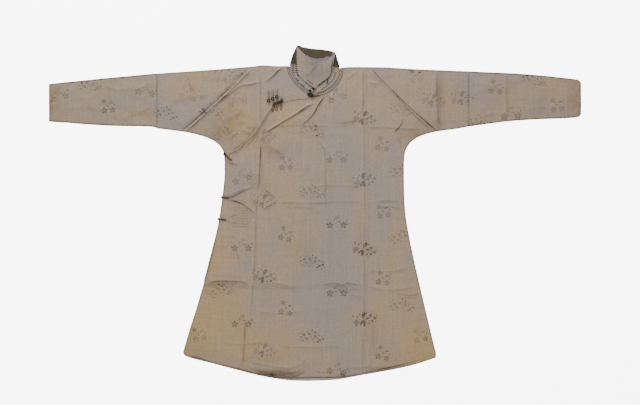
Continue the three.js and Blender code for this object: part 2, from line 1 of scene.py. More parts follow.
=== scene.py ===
# A figured-silk jacket laid flat, front up: its cloth, woven sprigs, collar, cords, knots and stitches.
# Tables are in millimetres, as a pattern cutter would write them. X runs across the garment, Y from hem
# to collar and Z up from the surface that it lies on. Meshes are in metres, in the same frame.
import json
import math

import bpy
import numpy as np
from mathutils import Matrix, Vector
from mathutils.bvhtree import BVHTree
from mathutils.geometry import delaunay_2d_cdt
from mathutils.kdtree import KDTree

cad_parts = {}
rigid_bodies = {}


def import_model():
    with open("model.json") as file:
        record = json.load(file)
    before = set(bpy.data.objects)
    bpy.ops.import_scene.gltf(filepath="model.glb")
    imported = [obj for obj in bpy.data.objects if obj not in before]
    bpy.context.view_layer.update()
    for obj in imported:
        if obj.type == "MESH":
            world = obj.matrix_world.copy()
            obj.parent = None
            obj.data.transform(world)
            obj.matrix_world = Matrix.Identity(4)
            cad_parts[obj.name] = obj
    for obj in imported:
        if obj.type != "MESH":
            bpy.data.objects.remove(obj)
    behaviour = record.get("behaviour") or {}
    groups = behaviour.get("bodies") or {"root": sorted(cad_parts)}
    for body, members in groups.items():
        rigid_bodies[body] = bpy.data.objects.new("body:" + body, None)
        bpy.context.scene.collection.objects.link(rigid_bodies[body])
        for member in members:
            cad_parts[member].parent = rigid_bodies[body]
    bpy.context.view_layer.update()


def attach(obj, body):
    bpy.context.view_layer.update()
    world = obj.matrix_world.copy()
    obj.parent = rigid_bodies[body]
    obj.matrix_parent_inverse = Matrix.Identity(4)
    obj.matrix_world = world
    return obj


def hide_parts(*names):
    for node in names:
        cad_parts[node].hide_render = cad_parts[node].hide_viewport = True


bl_info = {
    "name": "Figured Silk Jacket",
    "version": (1, 0, 0),
    "blender": (4, 5, 0),
    "location": "3D View > Sidebar > Jacket",
    "description": "Dresses a flat-laid silk jacket in figured cloth, cords, knot buttons and stitches",
    "category": "Object",
}

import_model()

MM = 0.001  # one millimetre in metres

# ---- Sizes of the cloth, in millimetres --------------------------------------------------------------
CLOTH = 1.5  # lined silk, outer cloth and lining together
COLLAR_CLOTH = 1.2  # one face of the stiffened collar
STAND_THICK = 2.1  # the collar's quilted root
GAP = 0.3  # air between two layers
BENT_GAP = 2 * GAP  # and between two that bend alike, each on mesh points of its own
LAYER = CLOTH + GAP  # how much one layer lifts the next
SEWN = 0.02  # air in a sewn seam
EDGE_DROP = 1.1  # how far a turned edge rounds down
RIM = 4.0  # width of that rounding
RIM_RINGS = (0.15, 0.4, 0.75)  # where the rounding has its points, as shares of its width
RIB_MM = 3.6  # the silk's ribs, drawn coarser than real ones so that they show
WEAVE_SHOWS = 0.85  # how far the ribs and slubs darken and lighten the silk
STITCH_WIDTH = 2.6  # across one quilting stitch
AIR = 1.1  # slack cloth stands off the layer below by this much
AIR_REACH = 55  # and takes this far from an edge to do it
STEP_START = 4  # one layer starts to come down off another this far from its edge
STEP_MIDDLE = 11  # is nearly half way down this far from it
STEP_END = 19  # and is down this far from it
LINING_INSET = 2.5  # the back's own silk turns in this far at the hem
LINING_THICK = 0.9  # the lining's strip that shows there
PIPING_WIDE = 3.4  # the welt round the neck
NECK_CORD = 0.62  # radius of the cords along it
CORD_SIDES = 6
HEM_SHOW = 9  # the back is this much longer than the front at mid hem
HEM_SHOW_AT, HEM_SHOW_WIDE = -6, 120  # where that is, and how far to each side it dies away
RIGHT_SEAM = -474  # where the sleeve pieces are sewn on
LEFT_SEAM = 462
CRUSH = 1.2  # the crushed collar's top lies this much higher than its root
CRUSH_FROM, CRUSH_OVER = 400, 90  # it rises from here on up the cloth, over this length
COLLAR_FOLD = (424, 0.35, 9, 0.9)  # fold across the collar: its place, slope, width and height
CUFF = 798  # where the sleeves end


# ---- Outline edges: each row is a point that the edge passes through ---------------------------------
RIGHT_SHOULDER = [
    (RIGHT_SEAM, 418.5), (-321, 429), (-195, 439), (-159, 443), (-120, 441), (-78, 441),
]
LEFT_SHOULDER = [(78, 435), (105, 438), (210, 437), (303, 431.5), (LEFT_SEAM, 425)]
FRONT_NECK = [
    (-78, 441), (-75, 420), (-60, 396), (-39, 375), (-15, 359), (3, 355.5),
    (27, 361), (51, 375), (69, 396), (78, 417), (78, 435),
]
BACK_NECK = [(-78, 441), (-60, 434), (0, 431), (60, 433), (78, 435)]
LEFT_UNDERARM = [
    (LEFT_SEAM, 259), (423, 252), (360, 243), (318, 231), (294, 217.5), (279, 201), (270, 180), (267, 144),
]
LEFT_SIDE = [(267, 144), (268.5, 39), (276, -33), (294, -126), (318, -231), (345, -345), (364, -423)]
HEM = [
    (362, -434), (315, -450), (264, -463.5), (204, -475.5), (135, -487.5), (66, -500), (0, -503.6),
    (-48, -503.6), (-90, -501), (-168, -487.5), (-249, -467), (-321, -448), (-369, -436), (-392, -427),
]
RIGHT_SIDE = [
    (-396, -417), (-375, -345), (-354, -279), (-318, -153), (-291, -36), (-277.5, 54), (-271.5, 111),
    (-271.5, 159),
]
RIGHT_UNDERARM = [
    (-271.5, 159), (-276, 186), (-291, 207), (-315, 222), (-345, 232.5), (-393, 243), (RIGHT_SEAM, 253.5),
]
OPENING = [
    (-271.5, 171), (-250.5, 180), (-225, 195), (-204, 216), (-178.5, 240), (-156, 276), (-134, 309),
    (-114, 328.5), (-82, 335.5), (-51, 341.5), (-24, 344), (-9, 357),
]
FLAP_EDGE = [(3, 355.5), (8, 290), (6, 216), (21, 195), (30, 159), (32, 0), (30, -196)]
FLAP_FOOT = [(16, -210), (-160, -214), (-334, -205)]

# Sleeve pieces, a row for each section from the seam to the cuff: x, upper edge, lower edge.
RIGHT_SLEEVE = [
    (RIGHT_SEAM - SEWN, 418.5, 254), (-495, 417, 259), (-552, 411.5, 260), (-609, 406.5, 261),
    (-654, 402, 263.5), (-699, 397.5, 266.5), (-744, 393, 270), (-780, 389, 272.5), (-CUFF, 387, 274.5),
]
LEFT_SLEEVE = [
    (LEFT_SEAM + SEWN, 425, 259), (519, 422.5, 267), (579, 420, 274.5), (639, 416, 279),
    (693, 411.5, 281.5), (747, 405.5, 283.5), (780, 401.5, 286), (792, 398, 289), (CUFF, 391, 296),
]

# Collar pieces.
COLLAR_BACK = [
    (-77, 441.8), (-69, 471), (-56, 500), (-53, 504), (-48, 503), (-36, 498), (-12, 493.5), (15, 491.5),
    (48, 486.5), (61, 482), (65, 471), (75, 436.8), (60, 433.6), (0, 431.6), (-60, 434.6),
]
COLLAR_FRONT = [
    (-54, 500), (-40, 484), (-22, 468), (-8, 458), (8, 454), (24, 456), (40, 466), (59, 481.5),
    (58, 462), (53, 436), (49, 409), (26, 392), (2, 374), (-14, 378), (-34, 396),
    (-50, 414), (-54, 440), (-55, 470),
]
COLLAR_UNDER = [
    (-24, 474), (-16, 468), (-6, 464.5), (10, 463), (26, 464.5), (38, 470), (46, 462), (40, 440), (0, 430),
    (-30, 440),
]
RIGHT_STAND = [
    (-76, 446), (-53, 449), (-51, 422), (-44, 407), (-26, 391), (-4, 375), (-3, 362), (-14, 362.5),
    (-37, 378.5), (-56, 398.5), (-71, 421),
]
LEFT_STAND = [
    (74, 436), (50, 440), (46, 424), (42, 406), (23, 391), (3, 376), (2, 362), (5, 359.5), (26, 365),
    (48, 378.5), (65, 398), (74, 417),
]


# ---- Creases: width, height (down when negative), soil and painted shade on the line, lean to one side, then its route
CREASES = [
    # the right half, from the shoulder to the underarm
    (7, 3.4, 0.7, 0.25, [(-190, 434), (-297, 328), (-396, 239)]),
    (5, -1.0, 0.8, 0, [(-206, 432), (-310, 326), (-408, 240)]),
    (8, -0.8, 1.1, 0, [(-194, 436), (-300, 332), (-400, 243)]),
    (6, 1.6, 0.6, 0.3, [(-157, 397), (-193, 387), (-223, 382), (-257, 359), (-296, 333)]),
    (6, 1.3, 1.1, 0.4, [(-90, 440), (-111, 428), (-129, 410), (-153, 391)]),
    (6, 0.9, 0.25, 0, [(-163, 428), (-163, 350), (-164, 262)]),
    (7, 1.8, 0.5, 0.5, [(-228, 250), (-206, 240), (-186, 232)]),
    (6, 1.4, 0.4, 0.4, [(-212, 256), (-192, 255), (-176, 250)]),
    (10, 1.8, 0.3, 0, [(-262, 278), (-240, 292), (-218, 304)]),
    (10, 1.4, 0.15, 0, [(-300, 372), (-262, 352), (-225, 322)]),
    (9, 1.2, 0.2, 0, [(-244, 322), (-216, 300), (-192, 286)]),
    (8, 1.0, 0.2, 0, [(-236, 272), (-214, 272), (-196, 268)]),
    (12, 1.0, 0.2, 0, [(-150, 372), (-120, 352), (-92, 350)]),
    (14, 1.1, 0.2, 0, [(-440, 330), (-380, 345), (-318, 352)]),
    (5, 0.9, 0.5, 0, [(-381, 415), (-378, 392), (-369, 366)]),
    (12, 0.8, 0.12, 0, [(-440, 275), (-410, 270), (-385, 262)]),
    (13, 1.0, 0.15, 0, [(-292, 300), (-262, 250), (-252, 205)]),
    # the left half
    (7, 3.2, 0.2, -0.2, [(163, 432), (210, 386), (300, 299), (358, 242)]),
    (7, -0.8, 1.0, 0, [(164, 436), (210, 389), (257, 342), (300, 303), (362, 246)]),
    (6, -0.6, 0.5, 0, [(262, 326), (300, 290), (350, 243)]),
    (6, -0.8, 0.9, 0, [(324, 284), (346, 262), (370, 242)]),
    (6, 2.0, 0.85, -0.45, [(-156, 240), (-141, 247), (-94, 277), (-60, 297), (-26, 320), (4, 331)]),
    (6, -0.9, 0.5, 0, [(-160, 238), (-140, 243), (-96, 270), (-50, 296), (-8, 324)]),
    (5, 1.1, 1.2, -0.4, [(38, 354), (26, 342), (12, 322), (0, 299), (-16, 280), (-42, 258)]),
    (8, 1.2, 0.15, 0, [(62, 372), (46, 340), (30, 318)]),
    (6, 1.0, 0.3, 0, [(132, 429), (112, 414), (94, 396)]),
    (5, 0.9, 0.9, -0.3, [(270, 288), (257, 260), (234, 236)]),
    (7, 0.8, 0.25, 0, [(246, 234), (261, 200)]),
    (7, 1.0, 0.35, 0, [(150, 258), (225, 254), (334, 250)]),
    (7, 1.0, 0.5, 0.3, [(64, 264), (99, 268), (129, 279), (142, 292)]),
    (5, 0.7, 0.2, 0, [(-150, 258), (-60, 262), (30, 260), (60, 262)]),
    (6, 1.1, 0.2, 0, [(12, 384), (40, 352), (78, 330)]),
    (14, 0.8, 0.08, 0, [(190, 345), (240, 372), (300, 392)]),
    (7, 1.2, 0.35, 0, [(154, 396), (172, 388), (196, 386)]),
    (9, 1.4, 0.35, 0, [(-146, 204), (-120, 190), (-96, 172)]),
    (9, 0.8, 0.15, 0, [(-60, 214), (-90, 196), (-112, 192)]),
    (14, 0.3, 0.5, 0, [
        (-262, 171), (-222, 189), (-184, 222), (-158, 262), (-130, 304), (-110, 322), (-80, 329),
    ]),
    (7, 0.5, 0.5, 0, [(-256, 186), (-226, 202), (-196, 232), (-172, 266)]),
    # storage creases down the body
    (7, 1.1, 0.45, 0, [(144, 438), (144, 300)]),
    (5, 1.1, 0.25, 0, [(144, 300), (148, 189), (148, -141), (146, -261), (143, -470)]),
    (8, -0.7, 0.1, 0, [(156, 430), (156, 258), (161, 189), (161, -141), (155, -261), (152, -462)]),
    (6, 1.4, 0.9, 0.35, [(-165, 214), (-167, 153), (-172, 67)]),
    (6, 1.1, 0.4, 0.2, [(-172, 67), (-179, 0), (-182, -120), (-188, -200)]),
    (6, 1.0, 0.3, 0.2, [(-188, -200), (-194, -300), (-200, -330)]),
    (6, 1.0, 0.55, 0.2, [(-212, -320), (-214, -390), (-221, -460)]),
    (6, 0.4, 0.35, 0, [(0, 217), (19, 204), (30, 179), (31, 100), (31, 20)]),
    (5, 0.3, 0.15, 0, [(-15, -6), (-14, -80), (-20, -150)]),
    # storage creases across the body
    (6, 0.9, 0.3, 0, [(-115, 31), (-66, 32), (0, 30), (84, 34), (140, 33)]),
    (6, 1.4, 0.45, 0.3, [(170, 30), (220, 34), (250, 30), (274, 29)]),
    (5, 1.0, 0.4, 0, [(176, 16), (220, 19), (250, 15), (272, 16)]),
    (5, 0.7, 0.25, 0, [(-96, 14), (-40, 18), (20, 12)]),
    (5, 0.6, 0.22, 0, [(-18, 78), (40, 82), (142, 80)]),
    (7, 1.2, 0.3, 0.2, [(-320, -186), (-270, -189), (-210, -196)]),
    (11, 2.2, 0.65, 0.5, [
        (-332, -226), (-312, -214), (-287, -209), (-250, -210), (-215, -214), (-195, -228),
    ]),
    (8, 1.4, 0.4, 0.2, [(-196, -212), (-120, -216), (-90, -221), (-45, -231)]),
    (8, 1.4, 0.6, 0.4, [(18, -221), (60, -214), (80, -222), (98, -214), (140, -224)]),
    (8, 1.2, 0.4, 0, [(36, -238), (80, -232), (140, -228)]),
    (8, 1.4, 0.4, 0.2, [(96, -246), (118, -253), (142, -258)]),
    (9, 2.0, 0.65, 0.4, [(235, -246), (285, -251), (322, -244)]),
    (8, 1.0, 0.25, 0, [(155, -223), (235, -231), (318, -218)]),
    (7, 0.9, 0.2, 0, [(-180, -296), (-100, -300), (-40, -296)]),
    (9, 1.0, 0.22, 0, [(-280, -388), (-224, -394), (-140, -386)]),
    (9, 1.0, 0.25, 0, [(-110, -398), (0, -404), (76, -398)]),
    (8, 0.9, 0.2, 0, [(-290, -64), (-256, -68), (-232, -66)]),
    (8, 0.9, 0.2, 0, [(-300, -96), (-270, -100), (-246, -96)]),
    (8, 1.0, 0.25, 0, [(150, -170), (210, -176), (290, -166)]),
    # the hem
    (13, 2.6, 0.35, 0.3, [(-205, -452), (-164, -460), (-118, -468), (-76, -473), (-35, -458), (-15, -434)]),
    (11, -0.8, 0.45, 0, [(-202, -462), (-165, -475), (-110, -485), (-68, -492), (-20, -471)]),
    (9, -0.4, 0.4, 0, [(-6, -474), (20, -478), (60, -476)]),
    (8, 1.0, 0.3, 0, [(60, -474), (120, -466), (176, -458)]),
    (5, 0.2, 0.9, 0, [(-386, -424), (-321, -444), (-249, -462), (-168, -481), (-100, -490)]),
    (8, 0.6, 0.8, 0, [(130, -482), (205, -467), (255, -456), (311, -443)]),
    # pulls from the two lower side buttons
    (6, 1.2, 0.9, 0.4, [(-270, 42), (-244, 48), (-214, 63), (-174, 80)]),
    (5, 1.2, 0.5, 0, [(-260, 50), (-226, 66), (-196, 78)]),
    (6, 1.4, 0.95, -0.4, [(-266, 40), (-240, 38), (-216, 29), (-196, 15), (-172, -6)]),
    (5, 1.2, 0.5, 0, [(-250, 42), (-222, 38), (-200, 28)]),
    (5, 1.0, 0.6, 0, [(-160, 80), (-140, 62), (-116, 39)]),
    (6, 1.0, 0.5, 0, [(-120, 38), (-134, 24), (-160, 6)]),
    (6, 1.0, 0.5, 0, [(-268, -22), (-250, -28), (-226, -30)]),
    (6, 1.0, 0.4, 0, [(-262, -16), (-244, -6), (-228, -2)]),
    (5, 1.1, 0.35, 0, [(-238, -112), (-232, -124), (-226, -142)]),
    (7, 1.2, 0.4, 0, [(-262, 150), (-240, 148), (-226, 140)]),
    # fine drag lines across the wearer's right side
    *[(4, 0.5, 0.32, 0, [(-262 + 0.1 * y, y), (-228, y + 2), (-186, y - 1)]) for y in range(-42, 16, 8)],
    *[(4, 0.5, 0.28, 0, [(-226, y), (-196, y + 2), (-152, y)]) for y in range(74, 116, 8)],
    # sleeves
    (12, 2.0, 0.3, 0.3, [(360, 424), (360, 340), (368, 258)]),
    (8, 1.2, 0.6, 0, [(576, 420), (575, 350), (576, 276)]),
    (12, 0.9, 0.15, 0, [(470, 392), (540, 376), (600, 380)]),
    (14, 1.1, 0.15, 0, [(590, 330), (630, 312), (700, 318)]),
    (12, 1.0, 0.15, 0, [(486, 282), (540, 296), (610, 292)]),
    (14, 1.1, 0.2, 0, [(-590, 275), (-540, 294), (-482, 322)]),
    (12, 0.9, 0.2, 0, [(-640, 380), (-580, 368), (-500, 378)]),
    (14, 0.9, 0.12, 0, [(-770, 300), (-700, 316), (-640, 306)]),
    (9, 0.8, 0.2, 0, [(-612, 404), (-616, 360), (-606, 320)]),
]

# ---- Colour of age and painted shade: soft patches, each with its centre, reach and strength ---------
WARM = [  # towards tan when positive, towards blue grey when negative
    (-240, 318, 90, 70, 0.3), (-206, 262, 50, 46, 0.4), (-345, -381, 130, 120, 0.8),
    (330, -396, 110, 130, 0.75), (-290, -160, 60, 170, 0.6), (262, -150, 56, 160, 0.2),
    (60, -60, 66, 120, -0.5), (60, -240, 76, 110, -0.5), (-585, 330, 110, 34, -0.35),
    (-536, 288, 66, 30, 0.5), (-420, 372, 70, 34, 0.3), (470, 366, 84, 46, -0.3), (380, 330, 60, 80, 0.4),
    (-90, 300, 60, 60, 0.35), (-120, 385, 60, 40, -0.45), (-430, 290, 60, 40, -0.3),
    (-340, 300, 50, 40, -0.35), (-120, -400, 90, 70, 0.5), (220, 330, 60, 90, 0.25),
    (0, 420, 60, 60, -0.25), (650, 350, 110, 50, 0.25), (138, -60, 12, 90, 0.15),
    (170, -360, 24, 90, 0.35), (-66, -90, 60, 120, 0.3), (-640, 345, 90, 60, 0.25),
    (40, 200, 110, 90, -0.2), (206, 60, 40, 130, -0.2), (-40, 240, 60, 60, 0.25),
    (-120, 60, 60, 90, 0.15),
]
STAIN = [  # orange brown
    (-276, 256, 40, 52, 1.3), (-242, 290, 26, 26, 0.8), (-149, 214, 16, 34, 1.0), (-249, 150, 12, 8, 1.3),
    (-212, 204, 40, 14, 0.6), (300, 248, 44, 34, 0.8), (-784, 328, 24, 70, 1.2), (784, 340, 26, 70, 1.1),
    (-136, 70, 26, 26, 0.4), (-45, -106, 30, 26, 0.5), (-300, -232, 60, 12, 0.7),
    (-214, -400, 8, 60, 0.6), (-360, -400, 50, 40, 0.4), (300, -440, 70, 26, 0.4), (137, -50, 9, 70, 0.4),
    (-340, 400, 60, 14, 0.4), (-330, 236, 50, 20, 0.5), (-110, 358, 34, 8, 0.4), (20, 350, 30, 8, 0.5),
    # the hem's dark band below its crease, in the last row here, is stain with painted shade
    (-516, 300, 40, 12, 0.5), (-150, -440, 60, 12, 0.8), (-120, -478, 64, 9, 1.5),
    (-20, 268, 60, 14, 0.3), (-220, 345, 40, 16, 0.4), (40, 228, 50, 8, 0.3), (-180, 250, 22, 20, 0.6),
    (-120, 182, 26, 14, 0.6), (250, 232, 16, 16, 0.5), (-90, 268, 60, 14, 0.5),
]
SHADE = [  # olive and dark: mostly painted shade, in folds and hollows, inside the collar and on the sleeves where they catch more light; partly olive staining
    (-110, -482, 60, 10, 0.6), (-76, -488, 20, 9, 0.3), (-270, -208, 70, 8, 0.3),
    (-340, -430, 30, 16, 0.15), (-258, 160, 14, 12, 0.35), (0, 430, 46, 54, 0.42), (-262, 46, 22, 8, 0.5),
    (-276, -20, 18, 8, 0.3), (-160, 120, 5, 90, 0.2), (330, 236, 50, 10, 0.2), (-640, 335, 190, 90, 0.17),
    (640, 345, 190, 90, 0.14), (76, -220, 30, 8, 0.4), (205, -466, 50, 7, 0.5), (-110, 178, 30, 16, 0.2),
    (100, 272, 34, 7, 0.25), (174, -370, 13, 56, 0.3), (-112, 331, 14, 6, 0.5), (-66, 464, 11, 22, 1.0),
    (68, 458, 10, 24, 1.2), (374, 350, 12, 66, 0.4), (385, 350, 70, 70, 0.1), (368, 262, 16, 20, 0.4),
]

# ---- Woven sprigs: for each kind, its columns down the cloth -----------------------------------------
LEAFY, TRIO, SPRAY, PAIR = "leafy", "trio", "spray", "pair"
SPRIGS = [  # kind, x, then the height and darkness of each one in the column
    (PAIR, -216, [(108, 0.45), (-99, 0.6), (-327, 0.65)]),
    (LEAFY, -153, [(231, 0.45), (36, 0.5), (-189, 0.7), (-411, 0.6)]),
    (TRIO, -87, [(150, 0.5), (-63, 0.6), (-285, 0.6)]),
    (SPRAY, -9, [(249, 0.4), (63, 0.55), (-147, 0.75), (-372, 0.8)]),
    (PAIR, 69, [(351, 0.35), (165, 0.45), (-30, 0.65), (-234, 0.65), (-471, 0.55)]),
    (LEAFY, 147, [(285, 0.75), (99, 0.75), (-108, 1.0), (-318, 1.1)]),
    (TRIO, 204, [(207, 0.5), (6, 0.5), (-195, 0.6), (-420, 0.6)]),
    (SPRAY, 262, [(309, 0.4), (123, 0.5), (-72, 0.55), (-279, 0.55)]),
    (TRIO, 315, [(-366, 0.4)]),
    (SPRAY, -282, [(-234, 0.5)]),
    (TRIO, -348, [(-363, 0.35)]),
    (SPRAY, -267, [(237, 0.45)]),
    (PAIR, -231, [(339, 0.3)]),
    (SPRAY, -312, [(306, 0.5)]),
    (TRIO, -354, [(357, 0.25)]),
    (LEAFY, -267, [(411, 0.35)]),
    (TRIO, 303, [(412, 0.25)]),
    (LEAFY, 354, [(339, 0.5)]),
    (SPRAY, -447, [(297, 0.75)]),
    (TRIO, -384, [(363, 0.25)]),
    (PAIR, -504, [(366, 0.5)]),
    (TRIO, -621, [(321, 0.7)]),
    (SPRAY, -675, [(384, 0.65)]),
    (PAIR, -765, [(354, 0.5)]),
    (LEAFY, 441, [(345, 0.5)]),
    (SPRAY, 489, [(273, 0.5)]),
    (TRIO, 543, [(378, 0.5)]),
    (PAIR, 591, [(297, 0.5)]),
    (SPRAY, 657, [(402, 0.55)]),
    (TRIO, 726, [(324, 0.45)]),
]

# ---- Fastenings --------------------------------------------------------------------------------------
CHEST_BUTTONS = [  # knot x, knot y, size beside a common knot, tail's end x, tail's end y
    (-138.6, 336.8, 1.4, -139.5, 369), (-126.6, 342, 1.4, -127.5, 370), (-114.2, 347.5, 1.4, -115, 370),
]
CHEST_LOOPS = [  # the end by the edge, then the far end
    (-122, 325, -127.5, 307.5), (-111, 328, -115.5, 310), (-100, 332, -103, 313),
]
SIDE_BUTTONS = [
    (-271, 176, 1.15, -251, 158), (-279, 47, 1.0, -258, 45), (-289, -18, 1.0, -266, -21),
]
COLLAR_BUTTONS = [(-10, 352, 1.5), (-15, 367, 1.0), (-5, 373, 0.9), (-19, 355, 1.2)]
COLLAR_SOLIDS = 3  # the first ones stand for solids
LOOP_BINDING = [(-126, 321), (-119, 327.5), (-109, 331), (-98, 334)]
LOOP_KNOT = (-99.5, 339, 1.1)
COLLAR_LOOP = [(-4, 350), (4, 351), (12, 353)]
KNOT = 3.9  # radius of a knot button
KNOT_FLAT = 0.72  # a knot is this much lower than it is wide


SILK_CLOTHS = ("right_front", "left_front", "right_sleeve_end", "left_sleeve_end")
COLLAR_CLOTHS = ("right_collar_root", "left_collar_root", "collar_face", "right_front", "left_front")
STITCH_ROWS = [  # slant to the row in degrees, length beside a common stitch, then the row's route
    (72, 1.4, [(-66, 444), (-66, 430), (-62, 414), (-56, 405)]),
    (68, 1.2, [(-57, 446), (-56, 432), (-54, 420), (-50, 411)]),
    (62, 0.9, [(-54, 402), (-45, 391), (-34, 381)]),
    (8, 1.0, [(-28, 391), (-22, 387), (-16, 383)]),
    (8, 1.0, [(-20, 397), (-14, 392), (-9, 388)]),
    (60, 0.8, [(-12, 380), (-6, 372), (-2, 366)]),
    (75, 1.0, [(60, 443), (58, 434), (55, 424)]),
    (70, 0.8, [(62, 420), (54, 400), (40, 385), (22, 372)]),
]
COLLAR_FOLDS = [  # width, height, soil and painted shade, lean, route
    (4, 1.2, 0.35, 0.3, [(-46, 452), (-28, 452), (-6, 450), (4, 451)]),
    (5, 1.4, 0.35, 0.3, [(-20, 440), (-4, 444), (6, 452), (16, 452)]),
    (6, 1.4, 0.3, -0.3, [(-18, 420), (-4, 436), (8, 446)]),
    (6, -0.9, 0.2, 0, [(-22, 404), (-8, 424), (10, 436)]),
    (5, 1.0, 0.2, 0, [(-46, 432), (-30, 418), (-14, 412)]),
    (4, 0.8, 0.2, 0, [(30, 450), (38, 430), (36, 408)]),
    (5, 0.8, 0.2, 0, [(-50, 480), (-34, 470), (-20, 462)]),
    # the last three rows are painted shadow: dark lines along the right and top edges of the collar's front
    (8, -0.3, 1.6, 0, [(55, 466), (50, 436), (48, 417), (41, 406), (29, 396), (15, 385), (-1, 375)]),
    (6, -0.3, 1.2, 0, [(44, 412), (39, 402), (37, 390), (33, 380)]),
    (4, 0.0, 1.3, 0, [(20, 455), (31, 460), (44, 469), (60, 483)]),
]
LIGHTS = [  # name, width in metres, watts, place, aim
    ("key", 0.7, 120, (-0.8, 3.2, 1.9), (0, 0, 0)),
    ("overhead", 3.0, 38, (0.2, -1.8, 3.9), (0, -0.2, 0)),
]
WORLD_LIGHT = 0.44  # strength of the even light from all round
FLOOR_GLOW = 7.0  # the floor is a light table, so that the outline reads clean
FLOOR_HALF, FLOOR_LOW = 6.0, -0.0002  # half the floor's width and its height, in metres
CAMERA = (0.015, 0.0315, 5.333)  # metres, looking straight down
LENS, SENSOR = 100, 36  # millimetres
VIEW_END = 60  # metres


# ---- Settings that a user may change -----------------------------------------------------------------
def srgb(code):
    """A hex colour as the linear numbers that Blender's sockets take."""
    parts = [int(code[i:i + 2], 16) / 255 for i in (1, 3, 5)]
    return tuple(c / 12.92 if c <= 0.04045 else ((c + 0.055) / 1.055) ** 2.4 for c in parts)


def colour(name, description, code):
    return bpy.props.FloatVectorProperty(
        name=name, description=description, subtype="COLOR", size=3, min=0, max=1, default=srgb(code)
    )


def length(name, description, value):
    return bpy.props.FloatProperty(
        name=name, description=description, default=value * MM, min=0, subtype="DISTANCE", unit="LENGTH"
    )


def share(name, description, value):
    return bpy.props.FloatProperty(name=name, description=description, default=value, min=0, subtype="FACTOR")


class JacketCloth(bpy.types.PropertyGroup):
    """Sizes of the cloth"""

    spacing: length("Mesh spacing", "Distance between points on cloth that shows", 3.4)
    crease_depth: share("Crease depth", "Multiplies the height of every crease", 1.6)
    ripple: length("Ripple", "Height of the soft unevenness between the creases", 1.0)
    sprig_relief: length("Sprig relief", "How far a woven petal stands off the ground weave", 0.22)
    sprig_size: share("Sprig size", "Multiplies the size of the woven sprigs", 1.0)


class JacketColours(bpy.types.PropertyGroup):
    """Colours of the cloths and cords"""

    cool_silk: colour("Cool silk", "Silk that has kept its grey", "#9F9188")
    warm_silk: colour("Warm silk", "Silk that has yellowed", "#B5986C")
    stain: colour("Stain", "Sweat and rust stains", "#91703F")
    # the soil colour paints dirt, and also the painted shade in creases, hollows and along edges
    soil_and_shade: colour("Soil", "Dirt along folds and edges", "#2A2018")
    figure: colour("Figure", "Woven sprigs", "#3F3A32")
    olive: colour("Olive silk", "Facing inside the collar", "#5A5038")
    lilac: colour("Lilac silk", "Lining of the collar's front", "#96869C")
    lining: colour("Lining", "Cotton that shows below the front hem", "#CDBDB4")
    cord: colour("Brown cord", "Loops and button tails", "#5E4630")
    gold: colour("Golden cord", "The chest's loops and button tails", "#8C7254")
    dark: colour("Dark cord", "Binding of the chest's loops", "#4A3A2C")
    pale: colour("Pale cord", "Worn cord inside the knots", "#8F8680")
    rust: colour("Rust cord", "The collar's loop", "#8C5C44")
    knot: colour("Indigo cord", "Knot buttons", "#262126")
    stitch: colour("Stitches", "Thread of the quilting", "#241E20")


class JacketCords(bpy.types.PropertyGroup):
    """Sizes of the cords and stitches"""

    cord_radius: length("Cord radius", "Radius of a laid cord", 1.15)
    strand_turn: length("Strand turn", "Length over which a strand goes once round its cord", 5.5)
    stitch_length: length("Stitch length", "Length of a quilting stitch", 8.0)
    stitch_step: length("Stitch step", "Distance between quilting stitches", 5.2)


# ---- Curves and outlines in the plane, as arrays of points in millimetres ----------------------------
def smooth(t):
    """0 below 0, 1 above 1 and a soft S between them."""
    t = np.clip(t, 0, 1)
    return t * t * (3 - 2 * t)


def spline(rows, step, keep_last=False):
    """Evenly spaced points on a smooth curve through the rows."""
    rows = np.array(rows, float)
    ends = np.vstack([rows[:1], rows, rows[-1:]])
    t = np.linspace(0, 1, 40, endpoint=False)[:, None]
    runs = []
    for a, b, c, d in zip(ends, ends[1:], ends[2:], ends[3:]):
        v, w = (c - a) / 2, (d - b) / 2
        runs.append((2 * b - 2 * c + v + w) * t ** 3 + (3 * c - 3 * b - 2 * v - w) * t ** 2 + v * t + b)
    dense = np.vstack([*runs, rows[-1:]])
    far = np.concatenate([[0], np.cumsum(np.linalg.norm(np.diff(dense, axis=0), axis=1))])
    count = max(2, round(far[-1] / step))
    at = np.linspace(0, far[-1], count + 1)[: count + 1 if keep_last else count]
    return np.column_stack([np.interp(at, far, dense[:, k]) for k in range(rows.shape[1])])


def polygon(rows, step):
    """Points along straight lines round a closed outline."""
    return np.vstack([spline([a, b], step) for a, b in zip(rows, rows[1:] + rows[:1])])


def is_inside(p, outline):
    inside = np.zeros(len(p), bool)
    x, y = p[:, 0], p[:, 1]
    for (ax, ay), (bx, by) in zip(outline, np.roll(outline, 1, axis=0)):
        if ay != by:
            crosses = ((ay > y) != (by > y)) & (x < (bx - ax) * (y - ay) / (by - ay) + ax)
            inside ^= crosses
    return inside


def edge_distance(p, outline):
    """How far each point is from an evenly stepped outline."""
    corners = KDTree(len(outline))
    for i, (x, y) in enumerate(outline):
        corners.insert((x, y, 0), i)
    corners.balance()
    near = np.array([corners.find((x, y, 0))[1] for x, y in p], int)
    best = np.full(len(p), np.inf)
    for first in (near - 1, near):
        a = outline[first]
        way = outline[(first + 1) % len(outline)] - a
        t = np.clip(((p - a) * way).sum(axis=1) / np.maximum((way * way).sum(axis=1), 1e-9), 0, 1)
        off = p - a - t[:, None] * way
        best = np.minimum(best, np.hypot(off[:, 0], off[:, 1]))
    return best


def area(outline):
    x, y = outline[:, 0], outline[:, 1]
    return 0.5 * float(np.sum(x * np.roll(y, -1) - np.roll(x, -1) * y))


def inset(outline, distance):
    """The outline moved inwards, point by point."""
    before, after = np.roll(outline, 1, axis=0), np.roll(outline, -1, axis=0)
    a, b = outline - before, after - outline
    a, b = a / np.linalg.norm(a, axis=1)[:, None], b / np.linalg.norm(b, axis=1)[:, None]
    inward = np.column_stack([-(a + b)[:, 1], (a + b)[:, 0]]) * math.copysign(1, area(outline))
    return outline + inward / np.linalg.norm(inward, axis=1)[:, None] * distance


